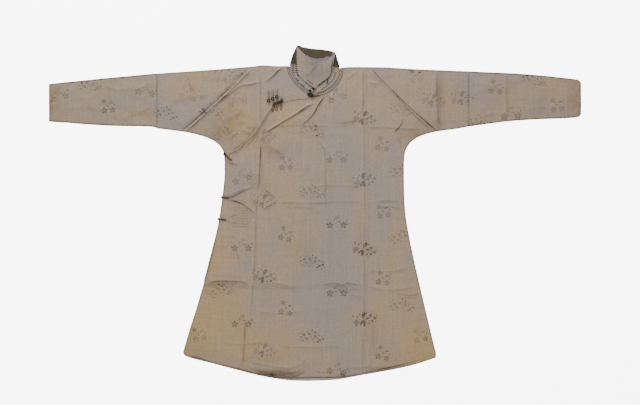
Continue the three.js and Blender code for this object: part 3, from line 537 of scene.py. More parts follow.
def lattice(outline, spacing, clear):
    """An even field of points inside an outline, at least clear from its edge."""
    low, high = outline.min(axis=0), outline.max(axis=0)
    rows = np.arange(low[1], high[1], spacing * 0.866)
    x, y = np.meshgrid(np.arange(low[0], high[0], spacing), rows)
    x = x + (np.arange(len(rows)) % 2)[:, None] * spacing / 2
    p = np.column_stack([x.ravel(), y.ravel()])
    p = p[is_inside(p, outline)]
    return p[edge_distance(p, outline) > clear]


def thin_out(points, reach):
    """The points, leaving out each one that lies close to an earlier one."""
    tree = KDTree(len(points))
    for i, (x, y) in enumerate(points):
        tree.insert((x, y, 0), i)
    tree.balance()
    kept = np.ones(len(points), bool)
    for i, (x, y) in enumerate(points):
        if kept[i]:
            for _, j, _ in tree.find_range((x, y, 0), reach[i]):
                if j > i:
                    kept[j] = False
    return points[kept]


# ---- Creases -----------------------------------------------------------------------------------------
CREASE_STEP = 6.0  # spacing of points along a crease
CREASE_FADE = 26.0  # a crease dies away over this length at each end
SOIL_AND_SHADE_REACH = 1.9  # least half width of the dark line on a crease: dirt, and painted shade in the fold
SOIL_AND_SHADE_SHARE = 0.24  # its half width beside the crease's own
SOIL_AND_SHADE_ASIDE = 0.45  # where a crease leans, it lies this share of the width to one side, by the lean's sign
MESH_ALONG = 1.1  # spacing of mesh points along a crease, beside the panel's own


def beside_line(p, line):
    """Signed distance of each point from a line, and how far along it lies, both in millimetres."""
    best = np.full(len(p), np.inf)
    aside, along = np.zeros(len(p)), np.zeros(len(p))
    start = 0.0
    for a, b in zip(line, line[1:]):
        way = b - a
        size = math.hypot(*way)
        t = np.clip(((p - a) @ way) / size ** 2, 0, 1)
        off = p - a - t[:, None] * way
        far = np.hypot(off[:, 0], off[:, 1])
        side = np.sign(way[0] * off[:, 1] - way[1] * off[:, 0])
        nearer = far < best
        best = np.where(nearer, far, best)
        aside = np.where(nearer, far * side, aside)
        along = np.where(nearer, start + t * size, along)
        start += size
    return aside, along, start


def soil_and_shade_side(lean):
    """Where the dark line of dirt and painted shade lies beside a crease, as a share of its width."""
    return SOIL_AND_SHADE_ASIDE * math.copysign(1, lean) if lean else 0.0


def crease_field(p, creases=None):
    """Height, and soil with painted shade, that the creases add at each point."""
    height, soil_and_shade = np.zeros(len(p)), np.zeros(len(p))
    for width, rise, dirt_and_shade, lean, route in creases or CREASES:
        line = spline(route, CREASE_STEP, keep_last=True)
        reach = width * 3
        near = np.all((p > line.min(axis=0) - reach) & (p < line.max(axis=0) + reach), axis=1)
        if not near.any():
            continue
        aside, along, total = beside_line(p[near], line)
        fade = min(CREASE_FADE, total / 3)
        ends = smooth(along / fade) * smooth((total - along) / fade)
        wander = 0.8 + 0.2 * np.sin(along / 17 + width)
        broad = width * np.where(aside > 0, 1 + lean, 1 - lean)
        height[near] += rise * ends * wander * np.exp(-1.6 * (np.abs(aside) / broad) ** 1.7)
        line_at = aside - width * soil_and_shade_side(lean)
        fine = max(SOIL_AND_SHADE_REACH, SOIL_AND_SHADE_SHARE * width)
        soil_and_shade[near] = np.maximum(soil_and_shade[near], dirt_and_shade * ends * wander * np.exp(-((line_at / fine) ** 2)))
    return height, soil_and_shade


def crease_points(outline, spacing):
    """Mesh points along the creases and their flanks, so that the mesh turns on them."""
    points = []
    for width, _, _, lean, route in CREASES:
        line = spline(route, spacing, keep_last=True)
        way = np.gradient(line, axis=0)
        out = np.column_stack([-way[:, 1], way[:, 0]]) / np.linalg.norm(way, axis=1)[:, None]
        middle = soil_and_shade_side(lean)
        shares = (middle, middle - SOIL_AND_SHADE_SHARE * 1.4, middle + SOIL_AND_SHADE_SHARE * 1.4, -1.1, 1.1)
        points += [line + out * aside * width for aside in shares]
    points = np.vstack(points)
    points = points[is_inside(points, outline)]
    return points[edge_distance(points, outline) > RIM * 1.1]


def patches(p, rows):
    total = np.zeros(len(p))
    for x, y, reach_x, reach_y, amount in rows:
        total += amount * np.exp(-(((p[:, 0] - x) / reach_x) ** 2 + ((p[:, 1] - y) / reach_y) ** 2))
    return total


def ripple(p):
    """Soft unevenness between the creases, from -1 to 1."""
    x, y = p[:, 0], p[:, 1]
    a = np.sin(x / 31 + 1.7 * np.sin(y / 83) + 0.4) * np.sin(y / 47 + 1.3 * np.sin(x / 71))
    b = np.sin(x / 13 + y / 29 + 2.1 * np.sin(y / 41)) * np.sin(y / 11 - x / 61 + 0.8)
    c = np.sin(x / 23 + 2.4 * np.sin(y / 37)) * np.sin(y / 5.5 + 1.9 * np.sin(x / 29))
    return 0.55 * a + 0.32 * b + 0.13 * c * (1 + a)


# ---- Meshes ------------------------------------------------------------------------------------------
def new_piece(name, vertices, faces, material, tone=None):
    """An object from points in millimetres and faces, with soft shading and its finish."""
    mesh = bpy.data.meshes.new(name)
    mesh.from_pydata((np.asarray(vertices, float) * MM).tolist(), [], faces)
    mesh.materials.append(material)
    if tone is not None:
        layer = mesh.color_attributes.new("tone", "FLOAT_COLOR", "POINT")
        layer.data.foreach_set("color", np.column_stack([tone, np.ones(len(tone))]).astype("f").ravel())
    mesh.shade_smooth()
    mesh.set_sharp_from_angle(angle=math.radians(50))
    mesh.validate()
    obj = bpy.data.objects.new(name, mesh)
    bpy.context.scene.collection.objects.link(obj)
    return obj


def triangles(points, outline_count):
    """Triangles over points in the plane, inside the outline that the first points make."""
    flat = [Vector((x, y)) for x, y in points]
    found, _, faces, *_ = delaunay_2d_cdt(flat, [], [list(range(outline_count))], 1, 1e-5)
    if len(found) != len(flat):
        raise RuntimeError("an outline crosses itself")
    turned = []
    for a, b, c in faces:
        u, v = found[b] - found[a], found[c] - found[a]
        turned.append((a, b, c) if u.x * v.y > u.y * v.x else (a, c, b))
    return turned


def sheet_mesh(outline, foot, rise, spacing, thick=CLOTH, drop=EDGE_DROP, rim=RIM, guides=None, under=26):
    """A closed sheet of cloth: foot is its lower face, and its upper face lies thick plus rise above that."""
    if area(outline) < 0:
        outline = outline[::-1]
    count = len(outline)
    fields, reach = [outline], [np.full(count, 0.05)]
    for part in RIM_RINGS:
        ring = inset(outline, rim * part)
        ring = ring[is_inside(ring, outline) & (edge_distance(ring, outline) > rim * part * 0.8)]
        fields.append(ring)
        reach.append(np.full(len(ring), rim * 0.2))
    if guides is not None:
        guides = guides[is_inside(guides, outline) & (edge_distance(guides, outline) > rim * 1.2)]
        fields.append(guides)
        reach.append(np.full(len(guides), spacing * 0.5))
    even = lattice(outline, spacing, rim + spacing * 0.3)
    fields.append(even)
    reach.append(np.full(len(even), spacing * 0.5))
    over = thin_out(np.vstack(fields), np.concatenate(reach))
    upper = triangles(over, count)
    inward = 1 - np.clip(edge_distance(over, outline) / rim, 0, 1)
    rounding = drop * (1 - np.sqrt(1 - inward ** 2))
    top = np.column_stack([over, foot(over) + thick - rounding + rise(over)])
    below = np.vstack([outline, lattice(outline, under, under * 0.4)])
    lower = triangles(below, count)
    bottom = np.column_stack([below, foot(below)])
    start = len(top)
    faces = upper + [(a + start, c + start, b + start) for a, b, c in lower]
    for i in range(count):
        j = (i + 1) % count
        faces.append((j, i, i + start, j + start))
    return np.vstack([top, bottom]), faces


def tube_mesh(path, radius, closed=False):
    """A round cord along a line of points in space."""
    sides = CORD_SIDES
    path = np.asarray(path, float)
    ahead = np.roll(path, -1, axis=0) - np.roll(path, 1, axis=0)
    if not closed:
        ahead[0], ahead[-1] = path[1] - path[0], path[-1] - path[-2]
    ahead /= np.linalg.norm(ahead, axis=1)[:, None]
    side = np.cross(ahead, (0.13, 0.31, 0.94))
    side /= np.linalg.norm(side, axis=1)[:, None]
    up = np.cross(side, ahead)
    turn = np.linspace(0, 2 * math.pi, sides, endpoint=False)
    rings = []
    for p, s, u in zip(path, side, up):
        rings.append(p + radius * (np.outer(np.cos(turn), s) + np.outer(np.sin(turn), u)))
    faces = []
    for i in range(len(path) if closed else len(path) - 1):
        j = (i + 1) % len(path)
        for k in range(sides):
            m = (k + 1) % sides
            faces.append((i * sides + k, j * sides + k, j * sides + m, i * sides + m))
    if not closed:
        last = (len(path) - 1) * sides
        faces += [tuple(range(sides)), tuple(last + k for k in reversed(range(sides)))]
    return np.vstack(rings), faces


def joined(parts):
    """Several meshes as one list of points and one of faces."""
    vertices, faces = [], []
    for points, some in parts:
        start = sum(len(v) for v in vertices)
        vertices.append(np.asarray(points))
        faces += [tuple(i + start for i in face) for face in some]
    return np.vstack(vertices), faces


# ---- Node trees --------------------------------------------------------------------------------------
def add(tree, kind, sockets=None, **settings):
    """Adds a node, with its settings, and fills or links its sockets by name or number."""
    node = tree.nodes.new(kind)
    for key, value in settings.items():
        setattr(node, key, value)
    for key, value in (sockets or {}).items():
        if isinstance(value, bpy.types.NodeSocket):
            tree.links.new(value, node.inputs[key])
        else:
            node.inputs[key].default_value = value
    return node


def new_material(name):
    material = bpy.data.materials.new(name)
    material.use_nodes = True
    material.node_tree.nodes.clear()
    return material, material.node_tree


def blend_colours(tree, amount, first, second, kind="MIX"):
    ends = [c if isinstance(c, bpy.types.NodeSocket) else (*c, 1.0) for c in (first, second)]
    sockets = {0: amount, 6: ends[0], 7: ends[1]}
    return add(tree, "ShaderNodeMix", sockets, data_type="RGBA", blend_type=kind).outputs[2]


def calc(tree, first, second, kind="ADD", third=0.0, clamp=False):
    sockets = {0: first, 1: second}
    if kind == "MULTIPLY_ADD":
        sockets[2] = third
    return add(tree, "ShaderNodeMath", sockets, operation=kind, use_clamp=clamp).outputs[0]


def vector(tree, first, second=None, kind="CROSS_PRODUCT"):
    sockets = {0: first} if second is None else {0: first, 1: second}
    return add(tree, "ShaderNodeVectorMath", sockets, operation=kind).outputs[0]


def xyz(tree, x=0.0, y=0.0, z=0.0):
    return add(tree, "ShaderNodeCombineXYZ", {0: x, 1: y, 2: z}).outputs[0]


def attribute(tree, name, output="Color"):
    return add(tree, "ShaderNodeAttribute", attribute_name=name).outputs[output]


def read(tree, name, kind="FLOAT"):
    return add(tree, "GeometryNodeInputNamedAttribute", {"Name": name}, data_type=kind).outputs[0]


def store(tree, shape, name, value, kind="FLOAT", domain="POINT"):
    sockets = {"Geometry": shape, "Name": name, "Value": value}
    return add(tree, "GeometryNodeStoreNamedAttribute", sockets, data_type=kind, domain=domain).outputs[0]


def realised(tree, shape):
    return add(tree, "GeometryNodeRealizeInstances", {"Geometry": shape}).outputs[0]


def grain(tree, place, stretch, size_mm, detail=2.0):
    """Noise whose specks are size_mm across, drawn out along an axis where stretch is small."""
    drawn = add(tree, "ShaderNodeMapping", {"Vector": place, "Scale": stretch}).outputs[0]
    sockets = {"Vector": drawn, "Scale": 1 / (size_mm * MM), "Detail": detail}
    return add(tree, "ShaderNodeTexNoise", sockets).outputs["Fac"]


def cloth_shader(tree, colour_socket, roughness, bump, depth_mm, sheen):
    shader = add(tree, "ShaderNodeBsdfPrincipled", {
        "Base Color": colour_socket, "Roughness": roughness, "Specular IOR Level": 0.35,
        "Sheen Weight": sheen, "Sheen Roughness": 0.45,
    })
    raised = add(tree, "ShaderNodeBump", {"Height": bump, "Distance": depth_mm * MM, "Strength": 0.6})
    tree.links.new(raised.outputs[0], shader.inputs["Normal"])
    add(tree, "ShaderNodeOutputMaterial", {"Surface": shader.outputs[0]})


def silk_damask(name, colours, figured=False):
    """Silk damask, woven: fine ribs down the cloth, a low sheen, and the yellowing and dirt of long use, with
    painted shade in its creases and along its edges.
    """
    material, tree = new_material(name)
    place = add(tree, "ShaderNodeTexCoord").outputs["Object"]
    split = add(tree, "ShaderNodeSeparateColor", {"Color": attribute(tree, "tone")})
    warm, stained, soiled_and_shaded = split.outputs[0], split.outputs[1], split.outputs[2]
    clouds = grain(tree, place, (1, 0.7, 1), 85, 4)
    blotch = grain(tree, place, (1, 1, 1), 22, 3)
    ribs = grain(tree, place, (1, 0.028, 1), RIB_MM, 2)
    wefts = grain(tree, place, (0.045, 1, 1), RIB_MM * 1.2, 2)
    threads = grain(tree, place, (1, 1, 1), 2.2, 1)
    slubs = grain(tree, place, (1, 1, 1), 5.0, 3)
    yellowed = calc(tree, calc(tree, clouds, 1.3, "MULTIPLY_ADD", -0.62), warm)
    yellowed = calc(tree, calc(tree, blotch, 0.3, "MULTIPLY_ADD", 0.1), yellowed, clamp=True)
    shade = blend_colours(tree, yellowed, tuple(colours.cool_silk), tuple(colours.warm_silk))
    spread = calc(tree, calc(tree, blotch, 2.2, "MULTIPLY_ADD", -0.35, clamp=True), stained, "MULTIPLY")
    shade = blend_colours(tree, spread, shade, tuple(colours.stain))
    # darkens towards the soil colour: dirt, and painted shade in creases, hollows and at edges
    dirt_and_shade = calc(tree, soiled_and_shaded, calc(tree, blotch, 0.9, "MULTIPLY_ADD", 0.6), "MULTIPLY", clamp=True)
    shade = blend_colours(tree, dirt_and_shade, shade, tuple(colours.soil_and_shade))
    streak = calc(tree, ribs, 0.34, "MULTIPLY_ADD", 0.43)
    streak = calc(tree, wefts, 0.20, "MULTIPLY_ADD", streak)
    streak = calc(tree, slubs, 0.62, "MULTIPLY_ADD", streak)
    value = add(tree, "ShaderNodeCombineColor", {0: streak, 1: streak, 2: streak}).outputs[0]
    shade = blend_colours(tree, WEAVE_SHOWS, shade, value, "MULTIPLY")
    if figured:
        ink = attribute(tree, "ink", "Fac")
        worn = calc(tree, threads, 2.6, "MULTIPLY_ADD", -0.55, clamp=True)
        worn = calc(tree, worn, calc(tree, ink, 1.15, "MULTIPLY"), "MULTIPLY", clamp=True)
        shade = blend_colours(tree, worn, shade, tuple(colours.figure))
    rough = calc(tree, blotch, 0.16, "MULTIPLY_ADD", 0.46)
    bump = calc(tree, calc(tree, ribs, wefts), threads)
    cloth_shader(tree, shade, rough, bump, 0.35, 0.12)
    return material


def plain_cloth(name, shade_code, dark, sheen, speck):
    """A plain-woven cloth or cord: one colour, darker in its hollows, with a fine broken grain."""
    material, tree = new_material(name)
    place = add(tree, "ShaderNodeTexCoord").outputs["Object"]
    fine = grain(tree, place, (1, 1, 1), speck, 3)
    broad = grain(tree, place, (1, 1, 1), speck * 9, 2)
    mixed = calc(tree, calc(tree, fine, broad), 0.9, "MULTIPLY_ADD", -0.4, clamp=True)
    shade = blend_colours(tree, mixed, tuple(c * dark for c in shade_code), tuple(shade_code))
    # darkens towards the soil colour where the tone asks: dirt, and painted shade in folds and at edges
    soiled_and_shaded = add(tree, "ShaderNodeSeparateColor", {0: attribute(tree, "tone")}).outputs["Blue"]
    shade = blend_colours(tree, soiled_and_shaded, shade, tuple(bpy.context.scene.jacket_colours.soil_and_shade))
    cloth_shader(tree, shade, calc(tree, fine, 0.2, "MULTIPLY_ADD", 0.62), fine, 0.25, sheen)
    return material


def interface(tree, name, kind, value=None):
    socket = tree.interface.new_socket(name, in_out="INPUT", socket_type=kind)
    if value is not None:
        socket.default_value = value


def new_tree(name):
    tree = bpy.data.node_groups.new(name, "GeometryNodeTree")
    tree.interface.new_socket("Geometry", in_out="OUTPUT", socket_type="NodeSocketGeometry")
    interface(tree, "Geometry", "NodeSocketGeometry")
    interface(tree, "Finish", "NodeSocketMaterial")
    return tree


ABOVE = 0.2  # metres, higher than any cloth


def seat_on_cloth(tree, shape, cloth):
    """Drops every point of a shape onto the cloth below it, keeping its own small height. A petal or stitch
    that hangs over an edge is left out whole."""
    split = add(tree, "ShaderNodeSeparateXYZ", {0: add(tree, "GeometryNodeInputPosition").outputs[0]})
    x, y, own = split.outputs[0], split.outputs[1], split.outputs[2]
    ray = add(tree, "GeometryNodeRaycast", {
        "Target Geometry": cloth, "Source Position": xyz(tree, x, y, ABOVE),
        "Ray Direction": (0, 0, -1), "Ray Length": 1.0,
    })
    hit = add(tree, "ShaderNodeSeparateXYZ", {0: ray.outputs["Hit Position"]}).outputs[2]
    place = xyz(tree, x, y, calc(tree, hit, own))
    island = add(tree, "GeometryNodeInputMeshIsland").outputs["Island Index"]
    missed = calc(tree, 1.0, ray.outputs["Is Hit"], "SUBTRACT")
    overhang = add(tree, "GeometryNodeAccumulateField", {"Value": missed, "Group ID": island},
                   data_type="FLOAT", domain="POINT").outputs["Total"]
    marked = store(tree, shape, "overhang", overhang)
    seated = add(tree, "GeometryNodeSetPosition", {"Geometry": marked, "Position": place}).outputs[0]
    outside = calc(tree, read(tree, "overhang"), 0.5, "GREATER_THAN")
    whole = add(tree, "GeometryNodeDeleteGeometry", {"Geometry": seated, "Selection": outside}).outputs[0]
    return add(tree, "GeometryNodeRemoveAttribute", {"Geometry": whole, "Name": "overhang"}).outputs[0]


def end_tree(tree, shape, finish):
    """Every tree ends in real geometry with its finish set."""
    sockets = {"Geometry": realised(tree, shape), "Material": finish}
    done = add(tree, "GeometryNodeSetMaterial", sockets).outputs[0]
    add(tree, "NodeGroupOutput", {0: done})


def cloth_target(tree, source):
    """The top cloth as a target, from a collection given as an input."""
    info = add(tree, "GeometryNodeCollectionInfo", {"Collection": source}, transform_space="ORIGINAL")
    return realised(tree, info.outputs[0])


def sprig_tree():
    """Plants one sprig shape on each point, sized and darkened by the point, and lays it on the cloth."""
    tree = new_tree("woven sprigs")
    interface(tree, "Shape", "NodeSocketObject")
    interface(tree, "Cloth", "NodeSocketCollection")
    interface(tree, "Size", "NodeSocketFloat", 1.0)
    given = add(tree, "NodeGroupInput")
    shape = add(tree, "GeometryNodeObjectInfo", {"Object": given.outputs["Shape"]}).outputs["Geometry"]
    planted = add(tree, "GeometryNodeInstanceOnPoints", {
        "Points": given.outputs["Geometry"], "Instance": shape,
        "Rotation": xyz(tree, z=read(tree, "turn")),
        "Scale": xyz(tree, given.outputs["Size"], given.outputs["Size"], 1.0),
    }).outputs[0]
    real = realised(tree, store(tree, planted, "ink", read(tree, "ink"), domain="INSTANCE"))
    target = cloth_target(tree, given.outputs["Cloth"])
    # the sprigs take the tone of the cloth below: warmth, stain, and soil with painted shade
    near = add(tree, "GeometryNodeSampleNearestSurface", {
        "Mesh": target, "Value": read(tree, "tone", "FLOAT_COLOR"),
        "Sample Position": add(tree, "GeometryNodeInputPosition").outputs[0],
    }, data_type="FLOAT_COLOR").outputs[0]
    toned = store(tree, real, "tone", near, "FLOAT_COLOR")
    end_tree(tree, seat_on_cloth(tree, toned, target), given.outputs["Finish"])
    return tree


STRANDS = 3  # of a laid cord


def braid_tree():
    """Three strands laid round one another along a line, as in a sewn cord."""
    tree = new_tree("laid cord")
    interface(tree, "Radius", "NodeSocketFloat", 0.001)
    interface(tree, "Turn", "NodeSocketFloat", 0.005)
    given = add(tree, "NodeGroupInput")
    line = add(tree, "GeometryNodeMeshToCurve", {"Mesh": given.outputs["Geometry"]}).outputs[0]
    step = calc(tree, given.outputs["Turn"], 0.14, "MULTIPLY")
    even = add(tree, "GeometryNodeResampleCurve", {"Curve": line, "Length": step}, mode="LENGTH").outputs[0]
    far = add(tree, "GeometryNodeSplineParameter").outputs["Length"]
    angle = calc(tree, calc(tree, far, given.outputs["Turn"], "DIVIDE"), 2 * math.pi, "MULTIPLY")
    ahead = add(tree, "GeometryNodeInputTangent").outputs[0]
    across = vector(tree, vector(tree, ahead, (0, 0, 1)), kind="NORMALIZE")
    above = vector(tree, across, ahead)
    thin = calc(tree, given.outputs["Radius"], 0.56, "MULTIPLY")
    sockets = {"Resolution": 6, "Radius": thin}
    strand = add(tree, "GeometryNodeCurvePrimitiveCircle", sockets, mode="RADIUS").outputs[0]
    reach = calc(tree, given.outputs["Radius"], 0.5, "MULTIPLY")
    bundle = add(tree, "GeometryNodeJoinGeometry")
    for k in range(STRANDS):
        at = calc(tree, angle, 2 * math.pi * k / STRANDS)
        moves = []
        for way, wave in ((across, "COSINE"), (above, "SINE")):
            sockets = {0: way, "Scale": calc(tree, calc(tree, at, 0.0, wave), reach, "MULTIPLY")}
            moves.append(add(tree, "ShaderNodeVectorMath", sockets, operation="SCALE").outputs[0])
        sockets = {"Geometry": even, "Offset": vector(tree, *moves, kind="ADD")}
        moved = add(tree, "GeometryNodeSetPosition", sockets).outputs[0]
        sockets = {"Curve": moved, "Profile Curve": strand, "Fill Caps": True}
        cord = add(tree, "GeometryNodeCurveToMesh", sockets).outputs[0]
        tree.links.new(cord, bundle.inputs[0])
    end_tree(tree, bundle.outputs[0], given.outputs["Finish"])
    return tree


def stitch_tree():
    """Short raised stitches set along a line at a slant, and laid on the cloth."""
    tree = new_tree("quilting stitches")
    interface(tree, "Cloth", "NodeSocketCollection")
    interface(tree, "Step", "NodeSocketFloat", 0.005)
    interface(tree, "Length", "NodeSocketFloat", 0.004)
    interface(tree, "Slant", "NodeSocketFloat", 0.5)
    given = add(tree, "NodeGroupInput")
    line = add(tree, "GeometryNodeMeshToCurve", {"Mesh": given.outputs["Geometry"]}).outputs[0]
    sockets = {"Curve": line, "Length": given.outputs["Step"]}
    spots = add(tree, "GeometryNodeCurveToPoints", sockets, mode="LENGTH")
    sockets = {"Vector": spots.outputs["Tangent"]}
    facing = add(tree, "FunctionNodeAlignRotationToVector", sockets, axis="X", pivot_axis="Z").outputs[0]
    sockets = {"Rotation": facing, "Rotate By": xyz(tree, z=given.outputs["Slant"])}
    aslant = add(tree, "FunctionNodeRotateRotation", sockets, rotation_space="LOCAL").outputs[0]
    bead = add(tree, "GeometryNodeMeshUVSphere", {"Segments": 6, "Rings": 4, "Radius": 0.5}).outputs[0]
    sewn = add(tree, "GeometryNodeInstanceOnPoints", {
        "Points": spots.outputs[0], "Instance": bead, "Rotation": aslant,
        "Scale": xyz(tree, given.outputs["Length"], STITCH_WIDTH * MM, STITCH_WIDTH * 0.8 * MM),
    }).outputs[0]
    target = cloth_target(tree, given.outputs["Cloth"])
    end_tree(tree, seat_on_cloth(tree, realised(tree, sewn), target), given.outputs["Finish"])
    return tree


def line_object(name, lines, attributes=None):
    """Lines or loose points, in millimetres, for a node tree to work on."""
    vertices, edges = [], []
    for line in lines:
        start = len(vertices)
        vertices += [(np.array(p) * MM).tolist() for p in line]
        edges += [(start + i, start + i + 1) for i in range(len(line) - 1)]
    mesh = bpy.data.meshes.new(name)
    mesh.from_pydata(vertices, edges, [])
    for key, values in (attributes or {}).items():
        mesh.attributes.new(key, "FLOAT", "POINT").data.foreach_set("value", values)
    obj = bpy.data.objects.new(name, mesh)
    bpy.context.scene.collection.objects.link(obj)
    return obj


def grown(obj, tree, inputs):
    """Runs a node tree on an object and leaves a plain mesh in its place."""
    modifier = obj.modifiers.new(tree.name, "NODES")
    modifier.node_group = tree
    for item in tree.interface.items_tree:
        if item.in_out == "INPUT" and item.name in inputs:
            modifier[item.identifier] = inputs[item.name]
    obj.update_tag()
    graph = bpy.context.evaluated_depsgraph_get()
    graph.update()
    ready = obj.evaluated_get(graph)
    mesh = bpy.data.meshes.new_from_object(ready, preserve_all_data_layers=True, depsgraph=graph)
    obj.modifiers.remove(modifier)
    obj.data = mesh
    mesh.shade_smooth()


def collection_of(name, objects):
    group = bpy.data.collections.get(name) or bpy.data.collections.new(name)
    for obj in objects:
        if obj.name not in group.objects:
            group.objects.link(obj)
    return group


def place_piece(obj, slot, *nodes):
    """Every piece rides on the one body, and stands for its solids."""
    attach(obj, "root")
    if nodes:
        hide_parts(*nodes)


# ---- Outlines, put together as a cutter would --------------------------------------------------------
OUTLINE_STEP = 3.2


def outline_of(*runs, step=OUTLINE_STEP):
    """Points round a closed outline made of curves, with straight lines between their ends."""
    points = []
    for run, following in zip(runs, runs[1:] + runs[:1]):
        points.append(spline(run, step))
        if run[-1] != following[0]:
            points.append(spline([run[-1], following[0]], step))
    points = np.vstack(points)
    return points if area(points) > 0 else points[::-1].copy()


def hem_show(x):
    return HEM_SHOW * math.exp(-(((x - HEM_SHOW_AT) / HEM_SHOW_WIDE) ** 2))


FRONT_HEM = [(x, y + hem_show(x)) for x, y in HEM]
BACK = outline_of(
    RIGHT_SHOULDER, BACK_NECK, LEFT_SHOULDER, LEFT_UNDERARM, LEFT_SIDE, HEM, RIGHT_SIDE, RIGHT_UNDERARM
)
FLAP = outline_of(
    RIGHT_SHOULDER, FRONT_NECK[:6], FLAP_EDGE, FLAP_FOOT, [FLAP_FOOT[-1], *RIGHT_SIDE[4:]], RIGHT_UNDERARM
)
OVERLAP = outline_of(
    OPENING, [(-9, 357), (3, 355.5), *FRONT_NECK[6:]], LEFT_SHOULDER, LEFT_UNDERARM, LEFT_SIDE, FRONT_HEM,
    [*RIGHT_SIDE[:-1], (-271.5, 150)],
)


# ---- Heights -----------------------------------------------------------------------------------------
def slack(p, outline):
    """Cloth stands a little off what is below it, away from its edges."""
    return AIR * smooth(edge_distance(p, outline) / AIR_REACH)


def over_flap(p):
    """1 over the hidden flap, coming down to 0 beyond its edge."""
    beyond = smooth((edge_distance(p, FLAP) - STEP_START) / (STEP_END - STEP_START))
    return np.where(is_inside(p, FLAP), 1, 1 - beyond)


def shows(p):
    """0 where the overlap presses the flap flat, rising to 1 where the flap lies open."""
    beyond = smooth((edge_distance(p, OVERLAP) - STEP_START) / (STEP_END - STEP_START))
    return np.where(is_inside(p, OVERLAP), 0, beyond)


def flap_foot(p):
    return LAYER + shows(p) * slack(p, FLAP)


def overlap_foot(p):
    return LAYER * (1 + over_flap(p)) + slack(p, OVERLAP)


def collar_rise(p):
    """The crushed collar stands a little higher towards its top, and has a fold across it."""
    place, slope, width, height = COLLAR_FOLD
    fold = np.exp(-(((p[:, 1] - place - slope * p[:, 0]) / width) ** 2))
    return CRUSH * smooth((p[:, 1] - CRUSH_FROM) / CRUSH_OVER) + height * fold


def collar_foot(p):
    return LAYER + STAND_THICK + GAP + collar_rise(p)


def collar_folds(p):
    """Soft folds in the collar's front."""
    return crease_field(p, COLLAR_FOLDS)[0] + 0.12 * ripple(p * 3)


def flat_at(height):
    return lambda p: np.full(len(p), float(height))


# ---- Colour of age and painted shade, per point ------------------------------------------------------
EDGE_DARK_REACH = 2.8  # edges are dark this far in: wear, and painted shadow along the cloth's outline
SEAM_EASE, SEAM_LEAST = 8, 0.15  # they pale this near a sleeve's seam, and keep this share on it
WARM_SHOWS, STAIN_SHOWS, SHADE_SHOWS = 0.8, 0.5, 0.6  # how strongly the patches of each kind show


def aged_and_shaded(p, soil_and_shade, outline, edge_wear_and_shadow):
    """Warmth, stain, and soil with painted shade in folds and at edges, at each point of a piece of silk."""
    from_seam = np.minimum(np.abs(p[:, 0] - RIGHT_SEAM), np.abs(p[:, 0] - LEFT_SEAM))
    # edges darkened: wear, and painted shadow along the outline
    worn = edge_wear_and_shadow * np.exp(-((edge_distance(p, outline) / EDGE_DARK_REACH) ** 2))
    worn *= np.clip(from_seam / SEAM_EASE, SEAM_LEAST, 1)
    dark = np.clip(np.maximum(soil_and_shade, worn) + patches(p, SHADE) * SHADE_SHOWS, 0, 1)
    return np.column_stack([patches(p, WARM) * WARM_SHOWS, patches(p, STAIN) * STAIN_SHOWS, dark])


GROUND = []  # the cloths laid so far, for what is laid on them


def lay(vertices, faces):
    """Lets later pieces rest on this one."""
    GROUND.append(BVHTree.FromPolygons([tuple(v) for v in vertices], faces))


def top_at(p):
    """The height of the highest cloth at each point, in millimetres."""
    heights = []
    for x, y in p:
        hits = [tree.ray_cast((x, y, 100), (0, 0, -1))[0] for tree in GROUND]
        heights.append(max((hit.z for hit in hits if hit), default=0.0))
    return np.array(heights)


# ---- Finishes ----------------------------------------------------------------------------------------
PLAIN = {  # plain cloths and cords: colour setting, how dark its hollows are, sheen, grain in mm
    "olive silk": ("olive", 0.55, 0.1, 3.0),  # dark and dull, partly painted shade, so that the collar's inside reads as deep
    "lilac silk": ("lilac", 0.7, 0.2, 3.0),  # pale and cool against the olive
    "lining cotton": ("lining", 0.72, 0.05, 3.0),  # matt and pale, without the silk's sheen
    "brown silk cord": ("cord", 0.5, 0.1, 1.2),  # matt, dark between its strands
    "golden silk cord": ("gold", 0.5, 0.1, 1.2),  # lighter than the rest, still matt
    "dark silk cord": ("dark", 0.4, 0.1, 1.6),  # brown, almost black with wear
    "pale silk cord": ("pale", 0.6, 0.1, 1.0),  # worn pale in the heart of a knot
    "rust silk cord": ("rust", 0.5, 0.1, 1.2),  # redder than the rest
    "indigo silk cord": ("knot", 0.5, 0.2, 1.0),  # almost black, with a faint gleam on each strand
    "sewing thread": ("stitch", 0.6, 0.1, 1.0),  # dark and fine
}


def plain(name):
    """A plain cloth or cord from the table, made when it is first used."""
    setting, dark, sheen, speck = PLAIN[name]
    shade = getattr(bpy.context.scene.jacket_colours, setting)
    return bpy.data.materials.get(name) or plain_cloth(name, shade, dark, sheen, speck)


def silk(figured=False):
    """Figured silk: a soft sheen that breaks up on fine ribs, cool grey where clean and tan where aged."""
    name = "silk damask figure" if figured else "silk damask"
    return bpy.data.materials.get(name) or silk_damask(name, bpy.context.scene.jacket_colours, figured)


def cloth_piece(
    name, outline, foot, finish, node, slot, rests_on=(), crease=None, spacing=None,
    edge_wear_and_shadow=0.8, folds=None, **shape,
):
    """One flat piece of cloth, in place and standing for its solid."""
    cloth = bpy.context.scene.jacket_cloth
    spacing = spacing or cloth.spacing / MM
    rise = crease or (lambda p: np.zeros(len(p)))
    vertices, faces = sheet_mesh(outline, foot, rise, spacing=spacing, **shape)
    soil_and_shade = crease_field(vertices[:, :2], folds)[1]
    tone = aged_and_shaded(vertices[:, :2], soil_and_shade, outline, edge_wear_and_shadow)
    obj = new_piece(name, vertices, faces, finish, tone)
    lay(vertices, faces)
    place_piece(obj, slot, node)


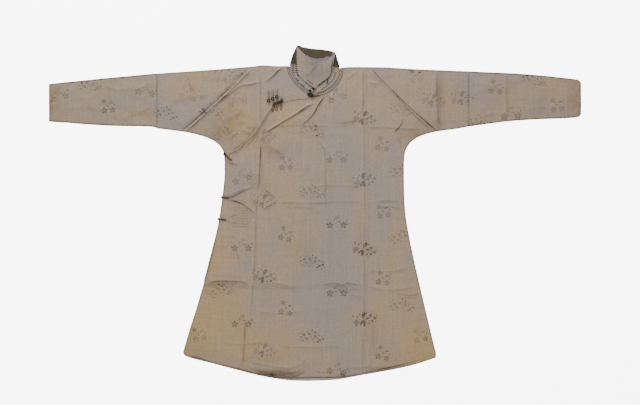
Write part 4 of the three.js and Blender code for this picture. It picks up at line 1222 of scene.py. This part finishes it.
def creased(outline, open_share=None, fade=16):
    """Heights of the creases and the soft unevenness on a panel, easing off at its edge."""
    cloth = bpy.context.scene.jacket_cloth

    def rise(p):
        eased = smooth(edge_distance(p, outline) / fade)
        height = crease_field(p)[0] * cloth.crease_depth + ripple(p) * cloth.ripple / MM
        return height * eased * (1 if open_share is None else open_share(p))

    return rise


def beside(rows, distance, step):
    """Points along a curve, moved to its left when the distance is positive."""
    line = spline(rows, step, keep_last=True)
    way = np.gradient(line, axis=0)
    way /= np.linalg.norm(way, axis=1)[:, None]
    return line + np.column_stack([-way[:, 1], way[:, 0]]) * distance


# ---- Sleeve ends: flattened tubes --------------------------------------------------------------------
SLEEVE_STEP = 4.0  # spacing of a sleeve's rings
FOLD_STEPS, FRONT_STEPS, BACK_STEPS = 6, 42, 14  # a ring's points round each fold, across its front and back
CUFF_FLATTER, CUFF_REACH = 0.6, 60  # its front stands off less at the cuff, up to this far from it
SLEEVE_EASE = 14  # creases ease off this far from a sleeve's folds
SEAM_LINE, CUFF_LINE = 1.6, 3.5  # half widths of the dirt along the seam and of the dark line at the cuff
CUFF_WEAR_AND_SHADOW, FOLD_WEAR_AND_SHADOW = 0.9, 1.3  # how dark the cuff's edge and the folds are: wear, and painted shadow at the cloth's edge


def sleeve_rings(sections, inner):
    """Rings of a flattened tube: the upper fold, the front, the lower fold, then the back."""
    cloth = bpy.context.scene.jacket_cloth
    half = (2 * CLOTH + GAP) / 2
    radius = half - inner
    x, top, foot = spline(sections, SLEEVE_STEP, keep_last=True).T[:, :, None]
    high, low = top - half, foot + half
    turn = np.linspace(-math.pi / 2, math.pi / 2, FOLD_STEPS + 1)[None]
    down = np.linspace(0, 1, FRONT_STEPS + 1)[None, 1:-1]
    y = high + (low - high) * down
    inwards = np.minimum(high - y, y - low)
    open_end = CUFF_FLATTER + (1 - CUFF_FLATTER) * smooth(np.abs(sections[-1][0] - x) / CUFF_REACH)
    stands_off = AIR * smooth(inwards / AIR_REACH) * open_end
    if inner == 0:
        spots = np.column_stack([np.broadcast_to(x, y.shape).ravel(), y.ravel()])
        uneven = crease_field(spots)[0] * cloth.crease_depth + 1.6 * ripple(spots) * cloth.ripple / MM
        stands_off = stands_off + uneven.reshape(y.shape) * smooth(inwards / SLEEVE_EASE)
    back_y = low + (high - low) * np.linspace(0, 1, BACK_STEPS + 1)[None, 1:-1]
    ring_y = [high + radius * np.cos(turn), y, low - radius * np.cos(turn), back_y]
    ring_z = [
        np.broadcast_to(half + radius * np.sin(turn), (len(x), turn.shape[1])), 2 * half - inner + stands_off,
        np.broadcast_to(half - radius * np.sin(turn), (len(x), turn.shape[1])), np.full(back_y.shape, inner),
    ]
    ring_y, ring_z = np.hstack(ring_y), np.hstack(ring_z)
    return np.dstack([np.broadcast_to(x, ring_y.shape), ring_y, ring_z])


def facing_out(vertices, faces):
    """The faces of a closed mesh, turned round if they point inwards."""
    fans = np.array([(f[0], f[k], f[k + 1]) for f in faces for k in range(1, len(f) - 1)])
    a, b, c = (vertices[fans[:, k]] for k in range(3))
    volume = float((a * np.cross(b, c)).sum())
    return faces if volume > 0 else [tuple(reversed(f)) for f in faces]


def sleeve_piece(name, sections, node, seam_soil):
    """One sleeve end, an outer and an inner tube joined at the cuff and at the seam, with its finish."""
    outer, inner = sleeve_rings(sections, 0), sleeve_rings(sections, CLOTH)
    rows, size = outer.shape[:2]
    vertices = np.vstack([outer.reshape(-1, 3), inner.reshape(-1, 3)])
    at = lambda layer, i, k: (layer * rows + i) * size + k % size
    faces = []
    for i in range(rows - 1):
        for k in range(size):
            faces.append((at(0, i, k), at(0, i, k + 1), at(0, i + 1, k + 1), at(0, i + 1, k)))
            faces.append((at(1, i, k), at(1, i + 1, k), at(1, i + 1, k + 1), at(1, i, k + 1)))
    for k in range(size):
        faces.append((at(0, 0, k), at(1, 0, k), at(1, 0, k + 1), at(0, 0, k + 1)))
        faces.append((at(0, rows - 1, k), at(0, rows - 1, k + 1), at(1, rows - 1, k + 1), at(1, rows - 1, k)))
    faces = facing_out(vertices, faces)
    flat = vertices[:, :2]
    along = np.abs(flat[:, 0] - sections[0][0])
    from_cuff = np.abs(flat[:, 0] - sections[-1][0])
    edges = ([(x, top) for x, top, _ in sections], [(x, foot) for x, _, foot in sections])
    runs = [spline(rows_of, SLEEVE_STEP, keep_last=True) for rows_of in edges]
    edge = np.vstack([runs[0], runs[1][::-1]])
    # dark lines: the seam, and wear with painted shadow along the cuff and the folds
    soil_and_shade = np.maximum(crease_field(flat)[1], seam_soil * np.exp(-((along / SEAM_LINE) ** 2)))
    soil_and_shade = np.maximum(soil_and_shade, CUFF_WEAR_AND_SHADOW * np.exp(-((from_cuff / CUFF_LINE) ** 2)))
    rising = [run[np.argsort(run[:, 0])] for run in runs]
    from_fold = np.min([np.abs(flat[:, 1] - np.interp(flat[:, 0], *run.T)) for run in rising], axis=0)
    soil_and_shade = np.maximum(soil_and_shade, FOLD_WEAR_AND_SHADOW * np.exp(-((from_fold / EDGE_DARK_REACH) ** 2)))
    obj = new_piece(name, vertices, faces, silk(), aged_and_shaded(flat, soil_and_shade, edge, 0))
    lay(vertices, faces)
    place_piece(obj, "figured_silk", node)


# ---- Knots, cords and stitches -----------------------------------------------------------------------
KNOT_LIFT = 0.1  # air under a knot
BEND_STEPS = 6  # points round a loop's end


def knot_mesh(x, y, size):
    """A knot button: a cord that goes three times round a ball, over and under itself."""
    radius = KNOT * size
    base = float(top_at([(x, y)])[0]) + KNOT_LIFT
    s = np.linspace(0, 2 * math.pi, 132, endpoint=False)
    around, up = 3 * s, 0.95 * np.sin(4 * s)
    out = radius * (0.8 + 0.09 * np.cos(8 * s + 0.8))
    path = np.column_stack([
        x + out * np.cos(up) * np.cos(around), y + out * np.cos(up) * np.sin(around), out * np.sin(up),
    ])
    strand = tube_mesh(path, radius * 0.2, closed=True)
    rings, sides, ball = 5, 12, radius * 0.8
    core = [(x, y, ball)]
    for i in range(1, rings):
        tilt = math.pi * i / rings
        for k in range(sides):
            a = 2 * math.pi * k / sides
            wide = ball * math.sin(tilt)
            core.append((x + wide * math.cos(a), y + wide * math.sin(a), ball * math.cos(tilt)))
    core.append((x, y, -ball))
    faces = []
    for k in range(sides):
        m = (k + 1) % sides
        faces.append((0, 1 + k, 1 + m))
        for i in range(rings - 2):
            a = 1 + i * sides
            faces.append((a + k, a + sides + k, a + sides + m, a + m))
        last = 1 + (rings - 2) * sides
        faces.append((last + k, len(core) - 1, last + m))
    vertices, all_faces = joined([strand, (np.array(core), faces)])
    vertices[:, 2] = base + (vertices[:, 2] + radius * 0.99) * KNOT_FLAT
    return vertices, all_faces, len(strand[1])


def knot_piece(name, x, y, size, node, heart=None):
    """A knot in dark cord round its heart, which may be of another cord."""
    vertices, faces, outer = knot_mesh(x, y, size)
    obj = new_piece(name, vertices, faces, plain("indigo silk cord"))
    obj.data.materials.append(heart or plain("indigo silk cord"))
    for face in obj.data.polygons[outer:]:
        face.material_index = 1
    place_piece(obj, "indigo_cord", *([node] if node else []))


def cord_lines(ends, spread):
    """Lines for cords laid side by side from one end to the other, resting on the cloth."""
    cords = bpy.context.scene.jacket_cords
    lines = []
    for shift in spread:
        flat = beside(ends, shift, 1.5)
        height = top_at(flat)
        wide = np.ones(5) / 5
        height = np.convolve(np.pad(height, 2, mode="edge"), wide, mode="valid")
        lines.append(np.column_stack([flat, height + cords.cord_radius / MM * 1.02]))
    return lines


def bend_round(a, b):
    """Points round a half circle from a to b, bulging on past them."""
    a, b = np.array(a), np.array(b)
    middle, half = (a + b) / 2, (b - a) / 2
    ahead = np.array([half[1], -half[0], 0.0])
    turns = [math.pi * k / BEND_STEPS for k in range(1, BEND_STEPS)]
    return [middle - half * math.cos(turn) + ahead * math.sin(turn) for turn in turns]


def cord_piece(name, lines, finish, slot, node=None, size=1.0):
    cords = bpy.context.scene.jacket_cords
    obj = line_object(name, lines)
    tree = bpy.data.node_groups.get("laid cord") or braid_tree()
    grown(obj, tree, {"Radius": cords.cord_radius * size, "Turn": cords.strand_turn, "Finish": finish})
    place_piece(obj, slot, *([node] if node else []))


# ---- Woven sprigs ------------------------------------------------------------------------------------
# Each sprig is drawn from blooms (x, y, petal reach), plain and hatched leaves (x, y, length, width, turn in
# degrees), stems (from x, y to x, y, width) and dots (x, y, radius), about its own middle.
SPRIG_SHAPES = {
    LEAFY: {
        "blooms": [(20, 8, 6.0), (33, -1, 5.5)],
        "hatched": [(-23, -6, 25, 15, 27)],
        "leaves": [(0, 13, 22, 12, 70), (-2, -12, 24, 10, 98), (-10, -11, 17, 6, 62),
                   (-31, 12, 9, 4.5, -50), (-19, 9, 8, 4, 62), (11, 1, 10, 6, 12), (24, -9, 10, 6, 50),
                   (13, -14, 9, 4, 24), (9, 17, 8, 4, 30), (-12, 16, 8, 3.5, 110), (-26, -17, 9, 4, 8)],
        "stems": [(-1, -21, -1, 6, 2.0), (-1, -6, 16, 2, 1.3), (3, -13, 24, -5, 1.2), (14, 1, 31, 0, 1.2)],
        "dots": [(27, 14, 1.8), (38, 7, 1.8), (33, -12, 1.6), (-36, 2, 1.5), (17, -19, 1.5)],
    },
    TRIO: {
        "blooms": [(-11, 15, 8.5), (-12, -13, 11), (13, -13, 10)],
        "hatched": [],
        "leaves": [(11, 8, 14, 6.5, 8), (-1, 1, 9, 4, 100), (20, 1, 8, 4, 60)],
        "stems": [(-9, 8, -2, -3, 1.2), (-2, -3, 9, 6, 1.1), (-2, -3, 6, -8, 1.1)],
        "dots": [(-21, 5, 1.5), (22, 14, 1.4)],
    },
    SPRAY: {
        "blooms": [(-24, 5, 5.5), (-8, 9, 5.5), (9, 2, 5.5), (-15, -6, 5.0), (24, -8, 5.0)],
        "hatched": [],
        "leaves": [(-1, 20, 10, 5, -60), (8, 15, 11, 5.5, 32), (33, -3, 10, 5.5, -40), (18, -13, 10, 6, 10),
                   (-33, -2, 9, 4.5, -25), (20, 7, 9, 4.5, 25), (-27, -13, 9, 4, 15)],
        "stems": [(-34, -9, -12, -1, 1.2), (-12, -1, 12, -6, 1.2), (12, -6, 32, -4, 1.2),
                  (-6, -2, 3, 16, 1.0)],
        "dots": [(-36, 9, 2.0), (-30, 14, 1.9), (-17, 15, 2.0), (-20, -1, 1.8), (-2, 3, 2.0), (1, -5, 1.9),
                 (-6, -12, 2.0), (6, -14, 1.9), (15, 13, 1.9), (17, 0, 1.9), (28, 5, 2.0), (36, 6, 1.8),
                 (39, -10, 2.0), (30, -14, 1.9), (-20, -15, 1.9), (-38, -8, 1.8), (-12, 18, 1.7),
                 (9, 9, 1.7)],
    },
    PAIR: {
        "blooms": [(-24, -8, 12), (17, -5, 12)],
        "hatched": [(-2, 18, 20, 9, 28)],
        "leaves": [(-11, 9, 10, 4.5, 55), (26, 9, 11, 5, 75), (5, 5, 9, 4.5, -20)],
        "stems": [(-3, 15, -3, 1, 1.4), (-3, 2, -14, -4, 1.2), (-3, 6, 9, 0, 1.2)],
        "dots": [(10, 20, 1.7), (-33, 6, 1.6), (32, 1, 1.7)],
    },
}
PETALS = 5
SPRIG_TURN = 0.25  # the most that a sprig is turned, in radians
HATCH_STEP = 3.0  # distance between the strokes of a hatched leaf


def dome(x, y, long, wide, turn, height, sides=8, pointed=False):
    """A low closed mound for one petal, leaf or dot; its base lies just inside the cloth."""
    t = np.linspace(0, 2 * math.pi, sides, endpoint=False)
    across = np.sin(t) * (np.abs(np.sin(t)) ** 0.6 if pointed else 1)
    flat = np.column_stack([np.cos(t) * long / 2, across * wide / 2])
    c, s = math.cos(turn), math.sin(turn)
    flat = flat @ np.array([[c, s], [-s, c]]) + (x, y)
    middle = np.array([x, y])
    base = np.column_stack([flat, np.full(sides, -0.06)])
    ring = np.column_stack([middle + (flat - middle) * 0.72, np.full(sides, height * 0.85)])
    faces = [tuple(reversed(range(sides)))]
    for k in range(sides):
        m = (k + 1) % sides
        faces += [(k, m, sides + m, sides + k), (sides + k, sides + m, 2 * sides)]
    return np.vstack([base, ring, [[x, y, height]]]), faces


def sprig_mesh(rows, relief):
    """One sprig as low mounds, from its rows of blooms, leaves, stems and dots."""
    parts = []
    for x, y, reach in rows["blooms"]:
        for k in range(PETALS):
            a = 2 * math.pi * (k + 0.25) / PETALS
            out = reach * 0.56
            middle = (x + out * math.cos(a), y + out * math.sin(a))
            parts.append(dome(*middle, reach * 0.82, reach * 0.62, a, relief))
        parts.append(dome(x, y, reach * 0.36, reach * 0.36, 0, relief * 1.3, 6))
    for x, y, long, wide, degrees in rows["leaves"]:
        parts.append(dome(x, y, long, wide, math.radians(degrees), relief, 10, pointed=True))
    for x, y, long, wide, degrees in rows["hatched"]:
        turn, strokes = math.radians(degrees), round(wide / HATCH_STEP)
        for k in range(strokes):
            off = (k + 0.5) / strokes - 0.5
            far = long * math.sqrt(1 - 3.2 * off * off)
            cx, cy = x - off * wide * math.sin(turn), y + off * wide * math.cos(turn)
            parts.append(dome(cx, cy, far, HATCH_STEP * 0.62, turn, relief, 8))
    for x1, y1, x2, y2, wide in rows["stems"]:
        turn = math.atan2(y2 - y1, x2 - x1)
        far = math.hypot(x2 - x1, y2 - y1)
        parts.append(dome((x1 + x2) / 2, (y1 + y2) / 2, far, wide, turn, relief, 10))
    for x, y, radius in rows["dots"]:
        parts.append(dome(x, y, radius * 2, radius * 2, 0, relief, 6))
    return joined(parts)


def sprig_turn(x, y):
    """Each sprig stands nearly upright, turned a little to one side or the other, in radians."""
    return SPRIG_TURN * math.sin(x * 0.37 + y * 0.11)


# ---- Steps, each its own operator --------------------------------------------------------------------
def need(*names):
    missing = [n for n in names if n not in bpy.data.objects]
    if missing:
        raise RuntimeError(f"make these first: {', '.join(missing)}")


class JACKET_OT_back(bpy.types.Operator):
    """Makes the back panel, with the lining's strip at its hem and the inside of the collar"""

    bl_idname = "jacket.back"
    bl_label = "Back"

    def execute(self, context):
        cloth_piece("back_panel", BACK, flat_at(0), silk(), "back", "figured_silk", spacing=9)
        rows = [p for p in spline(HEM, 4) if hem_show(p[0]) > LINING_INSET + 2]
        low = np.array([(x, y + LINING_INSET) for x, y in rows])
        high = np.array([(x, y + hem_show(x) - 2 * GAP) for x, y in rows])[::-1]
        cloth_piece(
            "hem_lining_strip", np.vstack([low, high]), flat_at(LAYER), plain("lining cotton"), "hem_lining",
            "lining_cotton", ["back_panel"], spacing=4, thick=LINING_THICK, drop=0.3, rim=1.2, edge_wear_and_shadow=0.2,
        )
        cloth_piece(
            "collar_inside", polygon(COLLAR_BACK, 2), flat_at(0), plain("olive silk"), "collar_back",
            "olive_silk", spacing=4, thick=COLLAR_CLOTH, drop=0.5, rim=2.0,
            crease=lambda p: 0.8 * ripple(p * 2.6) ** 2,
        )
        return {"FINISHED"}


class JACKET_OT_fronts(bpy.types.Operator):
    """Makes the two fronts, one over the other"""

    bl_idname = "jacket.fronts"
    bl_label = "Fronts"

    def execute(self, context):
        need("back_panel")
        along = context.scene.jacket_cloth.spacing / MM * MESH_ALONG
        steps = [inset(OVERLAP, -d) for d in (STEP_START, STEP_MIDDLE, STEP_END)]
        cloth_piece(
            "right_front", FLAP, flap_foot, silk(), "front_flap", "figured_silk", ["back_panel"],
            crease=creased(FLAP, shows, 10), guides=np.vstack([crease_points(FLAP, along), *steps]),
        )
        steps = [inset(FLAP, -d) for d in (0, STEP_START, STEP_MIDDLE, STEP_END)]
        cloth_piece(
            "left_front", OVERLAP, overlap_foot, silk(), "front_overlap", "figured_silk",
            ["back_panel", "right_front"], crease=creased(OVERLAP),
            guides=np.vstack([crease_points(OVERLAP, along), *steps]), edge_wear_and_shadow=0.85,
        )
        return {"FINISHED"}


class JACKET_OT_sleeves(bpy.types.Operator):
    """Makes the two sleeve ends as flattened tubes"""

    bl_idname = "jacket.sleeves"
    bl_label = "Sleeves"

    def execute(self, context):
        sleeve_piece("right_sleeve_end", RIGHT_SLEEVE, "right_sleeve", 0.3)
        sleeve_piece("left_sleeve_end", LEFT_SLEEVE, "left_sleeve", 0.1)
        return {"FINISHED"}


class JACKET_OT_collar(bpy.types.Operator):
    """Makes the stand collar's front, its lilac lining, its stitched root and the cords round the neck"""

    bl_idname = "jacket.collar"
    bl_label = "Collar"

    def execute(self, context):
        need("right_front", "left_front")
        for side, rows in (("right", RIGHT_STAND), ("left", LEFT_STAND)):
            cloth_piece(
                f"{side}_collar_root", polygon(rows, 1.6), flat_at(LAYER), silk(), f"{side}_stand",
                "figured_silk", ["back_panel", f"{side}_front"], spacing=2.4, thick=STAND_THICK,
                drop=0.7, rim=1.8,
                crease=lambda p: 0.25 * ripple(p * 4), folds=COLLAR_FOLDS, edge_wear_and_shadow=0.3,
            )
        cloth_piece(
            "collar_lining", outline_of(COLLAR_UNDER, step=2.5),
            lambda p: collar_foot(p) - COLLAR_CLOTH - BENT_GAP, plain("lilac silk"), "collar_under",
            "lilac_silk", spacing=3.5, thick=COLLAR_CLOTH, drop=0.4, rim=1.5, edge_wear_and_shadow=0.1,
        )
        cloth_piece(
            "collar_face", outline_of(COLLAR_FRONT, step=2), collar_foot, silk(), "collar_front",
            "figured_silk", ["right_collar_root", "left_collar_root"], spacing=2.6, thick=COLLAR_CLOTH,
            drop=0.6, rim=2.2,
            crease=collar_folds, edge_wear_and_shadow=0.15, folds=COLLAR_FOLDS,
        )
        for side, rows in (("right", FRONT_NECK[:5]), ("left", FRONT_NECK[5:])):
            edges = [beside(rows, shift * PIPING_WIDE, 2) for shift in (-0.25, -1.25)]
            cloth_piece(
                f"{side}_neck_welt", np.vstack([edges[0], edges[1][::-1]]), lambda p: top_at(p) + 0.05,
                silk(), f"{side}_piping", "olive_silk", [f"{side}_front"], spacing=2, thick=1.1, drop=0.8,
                rim=1.7, edge_wear_and_shadow=0.1, under=3,
            )
            lines = []
            for shift in (-0.05, -1.4):
                flat = beside(rows, shift * PIPING_WIDE, 1.5)
                lines.append(np.column_stack([flat, top_at(flat) + 0.5]))
            cords = [tube_mesh(line, NECK_CORD) for line in lines]
            obj = new_piece(f"{side}_neck_cords", *joined(cords), plain("olive silk"))
            place_piece(obj, "olive_silk")
        return {"FINISHED"}


class JACKET_OT_fastenings(bpy.types.Operator):
    """Makes the knot buttons, with their cords and loops"""

    bl_idname = "jacket.fastenings"
    bl_label = "Fastenings"

    def execute(self, context):
        need("right_front", "left_front", "collar_face")
        for i, (x, y, size, end_x, end_y) in enumerate(CHEST_BUTTONS, 1):
            lines = cord_lines([(x, y + 2), (end_x, end_y)], (-2.1, 2.1))
            cord_piece(f"chest_tail_{i}", lines, plain("golden silk cord"), "brown_cord", size=0.75)
            knot_piece(f"chest_knot_{i}", x, y, size, f"chest_button_{i}", plain("pale silk cord"))
        for i, (x1, y1, x2, y2) in enumerate(CHEST_LOOPS, 1):
            ways = cord_lines([(x1, y1), (x2, y2)], (-2.4, 2.4))
            round_end = bend_round(ways[0][-1], ways[1][-1])
            lines = [[*ways[0], *round_end, *ways[1][::-1]]]
            cord_piece(f"chest_loop_cord_{i}", lines, plain("brown silk cord"), "brown_cord",
                       f"chest_loop_{i}", size=0.8)
        lines = cord_lines(LOOP_BINDING, (-2.2, 0.4, 3.0))
        cord_piece("chest_loop_binding", lines, plain("dark silk cord"), "brown_cord", size=0.9)
        knot_piece("chest_loop_knot", *LOOP_KNOT, None, plain("pale silk cord"))
        for i, (x, y, size, end_x, end_y) in enumerate(SIDE_BUTTONS, 1):
            lines = cord_lines([(x, y), (end_x, end_y)], (-1.1, 1.1))
            cord_piece(f"side_tail_{i}", lines, plain("brown silk cord"), "brown_cord")
            knot_piece(f"side_knot_{i}", x, y, size, f"side_button_{i}")
        lines = cord_lines(COLLAR_LOOP, (-1.2, 1.2))
        cord_piece("collar_loop_cord", lines, plain("rust silk cord"), "brown_cord", "collar_loop")
        for i, (x, y, size) in enumerate(COLLAR_BUTTONS, 1):
            knot_piece(f"collar_knot_{i}", x, y, size, f"collar_button_{i}" if i <= COLLAR_SOLIDS else None)
        return {"FINISHED"}


class JACKET_OT_sprigs(bpy.types.Operator):
    """Plants the woven sprigs in their columns and lays them on the silk"""

    bl_idname = "jacket.sprigs"
    bl_label = "Woven sprigs"

    def execute(self, context):
        need(*SILK_CLOTHS)
        cloth = context.scene.jacket_cloth
        group = collection_of("silk panels", [bpy.data.objects[n] for n in SILK_CLOTHS])
        tree = sprig_tree()
        for kind, shape in SPRIG_SHAPES.items():
            drawn = sprig_mesh(shape, cloth.sprig_relief / MM)
            motif = new_piece(f"{kind}_motif", *drawn, silk(figured=True))
            spots = [((x, y, 0), dark) for k, x, column in SPRIGS if k == kind for y, dark in column]
            obj = line_object(
                f"sprigs_{kind}", [[p] for p, _ in spots],
                {"ink": [dark for _, dark in spots], "turn": [sprig_turn(*p[:2]) for p, _ in spots]},
            )
            grown(obj, tree, {
                "Shape": motif, "Cloth": group, "Size": cloth.sprig_size, "Finish": silk(figured=True),
            })
            bpy.data.objects.remove(motif)
            place_piece(obj, "figured_silk")
        bpy.data.collections.remove(group)
        return {"FINISHED"}


class JACKET_OT_stitches(bpy.types.Operator):
    """Sews the quilting of the collar's root"""

    bl_idname = "jacket.stitches"
    bl_label = "Quilting stitches"

    def execute(self, context):
        need(*COLLAR_CLOTHS)
        cords = context.scene.jacket_cords
        group = collection_of("collar cloths", [bpy.data.objects[n] for n in COLLAR_CLOTHS])
        tree = stitch_tree()
        for i, (slant, size, rows) in enumerate(STITCH_ROWS, 1):
            obj = line_object(f"quilting_{i}", [[(x, y, 0) for x, y in spline(rows, 2, keep_last=True)]])
            grown(obj, tree, {
                "Cloth": group, "Step": cords.stitch_step, "Length": cords.stitch_length * size,
                "Slant": math.radians(slant), "Finish": plain("sewing thread"),
            })
            place_piece(obj, "indigo_cord")
        bpy.data.collections.remove(group)
        return {"FINISHED"}


class JACKET_OT_stage(bpy.types.Operator):
    """Lays the jacket on a pale floor, under soft light, with the camera straight above"""

    bl_idname = "jacket.stage"
    bl_label = "Stage"

    def execute(self, context):
        mesh = bpy.data.meshes.new("floor")
        turns = ((-1, -1), (1, -1), (1, 1), (-1, 1))
        corners = [(x * FLOOR_HALF, y * FLOOR_HALF, FLOOR_LOW) for x, y in turns]
        mesh.from_pydata(corners, [], [(0, 1, 2, 3)])
        material, tree = new_material("pale floor")
        paint = add(tree, "ShaderNodeBsdfPrincipled", {
            "Base Color": (*srgb("#FBFBFB"), 1), "Roughness": 0.9, "Specular IOR Level": 0.1,
            "Emission Color": (1, 1, 1, 1), "Emission Strength": FLOOR_GLOW,
        })
        add(tree, "ShaderNodeOutputMaterial", {"Surface": paint.outputs[0]})
        mesh.materials.append(material)
        floor = bpy.data.objects.new("floor", mesh)
        lights = []
        for name, size, watts, place, aim in LIGHTS:
            lamp = bpy.data.lights.new(name, "AREA")
            lamp.shape, lamp.size, lamp.energy = "DISK", size, watts
            obj = bpy.data.objects.new(name, lamp)
            obj.location = place
            obj.rotation_euler = (Vector(aim) - Vector(place)).to_track_quat("-Z", "Y").to_euler()
            lights.append(obj)
        lens = bpy.data.cameras.new("camera")
        lens.lens, lens.sensor_width, lens.clip_end = LENS, SENSOR, VIEW_END
        camera = bpy.data.objects.new("camera", lens)
        camera.location = CAMERA
        for obj in (floor, camera, *lights):
            context.scene.collection.objects.link(obj)
        context.scene.camera = camera
        world = bpy.data.worlds.new("studio")
        world.use_nodes = True
        world.node_tree.nodes.clear()
        sockets = {"Color": (1, 1, 1, 1), "Strength": WORLD_LIGHT}
        sky = add(world.node_tree, "ShaderNodeBackground", sockets)
        add(world.node_tree, "ShaderNodeOutputWorld", {"Surface": sky.outputs[0]})
        context.scene.world = world
        return {"FINISHED"}


STEPS = (
    JACKET_OT_back, JACKET_OT_fronts, JACKET_OT_sleeves, JACKET_OT_collar, JACKET_OT_fastenings,
    JACKET_OT_sprigs, JACKET_OT_stitches, JACKET_OT_stage,
)


class JACKET_PT_panel(bpy.types.Panel):
    """Settings and steps of the jacket"""

    bl_idname = "JACKET_PT_panel"
    bl_label = "Figured Silk Jacket"
    bl_space_type = "VIEW_3D"
    bl_region_type = "UI"
    bl_category = "Jacket"

    def draw(self, context):
        for title, group in GROUPS.items():
            settings = getattr(context.scene, title)
            box = self.layout.box()
            for key in group.__annotations__:
                box.prop(settings, key)
        for step in STEPS:
            self.layout.operator(step.bl_idname)


GROUPS = {"jacket_cloth": JacketCloth, "jacket_colours": JacketColours, "jacket_cords": JacketCords}
CLASSES = (*GROUPS.values(), *STEPS, JACKET_PT_panel)


def register():
    for kind in CLASSES:
        bpy.utils.register_class(kind)
    for name, group in GROUPS.items():
        setattr(bpy.types.Scene, name, bpy.props.PointerProperty(type=group))


def unregister():
    for name in GROUPS:
        delattr(bpy.types.Scene, name)
    for kind in reversed(CLASSES):
        bpy.utils.unregister_class(kind)


def main():
    register()
    for step in STEPS:
        area_name, name = step.bl_idname.split(".")
        getattr(getattr(bpy.ops, area_name), name)()


if __name__ == "__main__":
    main()
